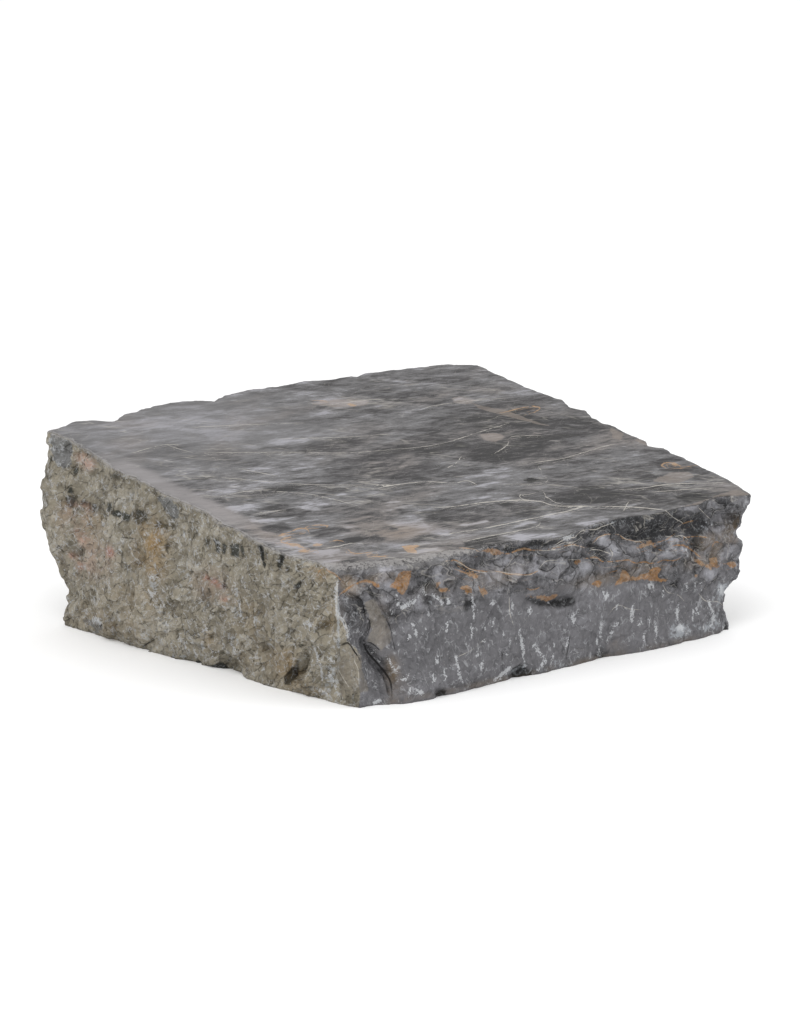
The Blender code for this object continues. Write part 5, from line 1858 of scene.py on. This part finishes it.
def side_skin(g, s, f, n):
    """The grey stone, the beige skin where it covers it, and their stains, with painted light and shade
    that follow the relief.
    """
    vary = g.swing(s.mottle, 0.40, 0.0)
    for part, amount in ((s.flakes, 0.46), (s.big_share, 0.26), (s.small_share, 0.22), (n.fine, 0.45)):
        vary = g.swing(part, amount, vary)
    # The drawn tones and clouds set the side's tone, their painted shade with them.
    tone = g.swing(g.noise(s.place, 7.0, 3.0, 0.5), 0.30, g.scaled(f.cloud, 0.9, 0.48))
    # Painted shade: the raised part of each small facet is lighter and its sunk part darker.
    tone = g.scaled(s.small, 26.0, g.scaled(vary, s.rough, tone))
    # On the upper front each knob has a tone of its own, and painted light that makes its middle lighter
    # than its edges.
    swell = g.scaled(s.pillow, 0.32, g.scaled(s.knob_share, 0.34, -0.30))
    tone = g.scaled(swell, f.banded, tone)
    # Painted shade: ridges of the fine relief are a little lighter and its hollows a little darker.
    grey = g.ramp(g.scaled(f.ridge, 0.06, tone), (0.0, GREY_DARK), (0.5, GREY_MIDDLE), (1.0, GREY_LIGHT))
    beige = g.ramp(g.scaled(f.ridge, 0.05, tone),
                   (0.0, BEIGE_DARK), (0.5, BEIGE_MIDDLE), (1.0, BEIGE_LIGHT))
    # Smudges: the dark grey that shows through the beige, facet by facet.
    bare = g.swing(s.small_share, 0.22, g.swing(s.flakes, 1.0, g.times(f.cloud, -1.0)))
    beige = g.coat(beige, SMUDGE, g.step(bare, 0.16, 0.60), 0.80)
    # Away from the front the grey is less blue.
    grey = g.coat(grey, NEUTRAL, g.step(s.front, 0.5, 0.0), 0.75)
    edge = g.swing(s.small_share, 5.0, g.swing(s.flakes, 24.0, f.beige))
    color = g.mix(g.step(edge, -1.4, 1.4), grey, beige)
    stained = g.times(g.spots(s.place, 17.0, 0.32, 0.60, 5.0, 0.65), f.warm)
    color = g.coat(color, WARM, stained, 0.85, clamp=True)
    blush = g.times(g.step(s.mottle, 0.34, 0.6), f.pink)
    return g.coat(color, PINK, blush, 0.8, clamp=True)


def scratches(g, s, f, drawn):
    """1 on short winding light lines along the grain, fainter in front."""
    found = g.most(g.threads(drawn, 62.0, 0.50, 0.034), g.threads(s.place, 40.0, 0.53, 0.026))
    found = g.times(found, g.spots(s.place, 64.0, 0.50, 0.60, 3.0, 0.6))
    return g.times(found, g.scaled(f.banded, -0.25, g.scaled(s.front, -0.42, 1.0)))


def splits(g, s, drawn):
    """1 on short winding splits along the grain, fewer of them in front, which are painted dark as
    shade.
    """
    found = g.times(g.threads(drawn, 48.0, 0.46, 0.030), g.step(s.flakes, 0.50, 0.40))
    found = g.times(found, g.spots(s.place, 38.0, 0.54, 0.62, 3.0, 0.6))
    return g.times(found, g.scaled(s.front, -0.60, 1.0))


def side_edges(g, s, color):
    """The colour with its facet edges and lines: crushed light edges and scratches, and painted shade in
    the open edges and the splits.
    """
    crest = g.times(g.step(s.small_edge, 0.08, 0.0), g.step(s.flakes, 0.46, 0.56), s.rough)
    color = g.coat(color, WHITE, crest, g.scaled(s.front, -0.06, 0.46))
    # Painted shade in the open edges of the big facets.
    crevice = g.times(g.step(s.big_edge, 0.050, 0.0), g.step(s.flakes, 0.54, 0.46), s.rough)
    color = g.coat(color, SHADOW, crevice, 0.60)
    # Light scratches, then painted shade in the splits.
    return g.coat(g.coat(color, WHITE, s.scratch, 0.62), SHADOW, s.split, 0.72)


def band_marks(g, s, f, color):
    """The colour with painted shade in the creases between the knobs, and the seams, veins and dark
    lines that run along the upper front.
    """
    # Painted shade in the creases between the knobs.
    crease = g.times(g.step(s.knob_edge, 0.050, 0.005), f.banded)
    crease = g.times(crease, g.spots(s.place, 22.0, 0.46, 0.58))
    color = g.coat(color, SHADOW, crease, 0.60)
    seam = g.step(g.math("ABSOLUTE", g.math("SUBTRACT", s.knob_edge, 0.060)), 0.022, 0.0)
    seam = g.times(seam, g.spots(s.place, 30.0, 0.54, 0.60), f.banded)
    color = g.coat(color, CREAM, seam, 0.42)
    level = g.mapped(s.place, (9.0, 9.0, 21.0), (0, 8, 0))
    veined = g.times(g.threads(level, 1.0, 0.50, 0.014, 4.0, 0.6), f.banded)
    color = g.coat(color, CREAM, g.times(veined, g.spots(s.place, 21.0, 0.44, 0.56)), 0.36)
    # Thin dark winding lines across the upper front.
    dark_threads = g.times(g.threads(level, 1.6, 0.47, 0.030, 4.0, 0.6), f.banded)
    return g.coat(color, SHADOW, g.times(dark_threads, g.spots(s.place, 26.0, 0.50, 0.60)), 0.50)


def side_grains(g, s, f, n, color):
    """The colour with bright specks on the ridges, powder, and small dashes low in front."""
    speck = g.times(g.step(g.scaled(f.ridge, 0.06, s.flakes), 0.62, 0.74), s.rough)
    color = g.coat(color, WHITE, speck, 0.34)
    dusty = g.swing(s.mottle, 1.2, g.swing(s.flakes, 2.2, f.powder))
    dusty = g.times(g.step(dusty, 0.34, 0.66), g.step(f.powder, 0.02, 0.14))
    color = g.coat(color, POWDERED, dusty, 0.58)
    dash = g.fill(g.node("ShaderNodeTexVoronoi", feature="F1"), Scale=68.0,
                  Vector=g.mapped(s.place, (1.0, 1.0, 0.5)))
    chance, length, _ = g.parts(dash.outputs["Color"])
    near = g.swing(n.fine, 0.9, g.times(length, 0.26))
    near = g.math("SUBTRACT", near, dash.outputs["Distance"])
    shown = g.times(g.step(near, 0.0, 0.05), g.step(chance, 0.66, 0.70), f.calm)
    return g.coat(color, WHITE, shown, 0.60)


def side_relief(g, s, f, n):
    """Bump height of the broken sides: facets, flakes, lines and knobs."""
    height = g.times(n.fine, 0.25)
    for relief, amount in ((s.big, 1.10), (s.small, 1.20)):
        height = g.scaled(g.times(relief, amount / BUMP_DISTANCE), s.rough, height)
    lines = g.math("SUBTRACT", s.scratch, s.split)
    raised = g.times(g.scaled(s.knob, 0.5 / BUMP_DISTANCE, s.pillow), f.banded)
    for part, amount in ((g.times(s.flakes, s.rough), 0.50), (lines, 0.22),
                         (g.times(s.mottle, s.rough), 0.4), (n.grit, 0.12), (raised, 0.80)):
        height = g.scaled(part, amount, height)
    return height


# ---------------------------------------------------------------- scene
def add(thing, data):
    """A new object in the scene."""
    made = bpy.data.objects.new(thing, data)
    bpy.context.scene.collection.objects.link(made)
    return made


def aim(thing, direction):
    """Turn a light or the camera to look along a direction."""
    thing.rotation_euler = Vector(direction).to_track_quat("-Z", "Y").to_euler()


def make_block():
    """The visible block, riding on the CAD part and standing for it."""
    block = add("marble_block_stone", make_mesh())
    block.data.materials.append(stone_material())
    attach(block, "root")
    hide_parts("marble_block")


def make_floor():
    """A plain white floor under the block."""
    mesh = bpy.data.meshes.new("floor")
    corners = [(x * FLOOR_HALF, y * FLOOR_HALF, 0) for x, y in ((-1, -1), (1, -1), (1, 1), (-1, 1))]
    mesh.from_pydata(corners, [], [(0, 1, 2, 3)])
    material = bpy.data.materials.new("floor")
    material.use_nodes = True
    shader = material.node_tree.nodes["Principled BSDF"]
    shader.inputs["Base Color"].default_value = (FLOOR_GREY, FLOOR_GREY, FLOOR_GREY, 1.0)
    shader.inputs["Roughness"].default_value = 0.9
    shader.inputs["Specular IOR Level"].default_value = 0.1
    mesh.materials.append(material)
    add("floor", mesh)


def make_studio():
    """White surroundings and soft square lights that look at the block."""
    world = bpy.data.worlds.new("studio")
    world.use_nodes = True
    background = world.node_tree.nodes["Background"]
    background.inputs["Color"].default_value = (1.0, 1.0, 1.0, 1.0)
    background.inputs["Strength"].default_value = SKY_STRENGTH
    bpy.context.scene.world = world
    for name, place, watts in LIGHTS:
        lamp = bpy.data.lights.new(name, "AREA")
        lamp.energy = watts
        lamp.size = LIGHT_SIZE
        holder = add(name, lamp)
        holder.location = place
        aim(holder, Vector(LIGHT_TARGET) - Vector(place))


def make_camera():
    """The camera that frames the block as it is pictured."""
    data = bpy.data.cameras.new("camera")
    data.lens = CAMERA_LENS
    data.sensor_width = CAMERA_SENSOR
    data.clip_end = CAMERA_REACH
    camera = add("camera", data)
    camera.location = CAMERA_PLACE
    azimuth, elevation = math.radians(CAMERA_AZIMUTH), math.radians(CAMERA_ELEVATION)
    aim(camera, (-math.sin(azimuth) * math.cos(elevation),
                 math.cos(azimuth) * math.cos(elevation), -math.sin(elevation)))
    bpy.context.scene.camera = camera


make_block()
make_floor()
make_studio()
make_camera()
bpy.context.scene.view_settings.view_transform = "Standard"
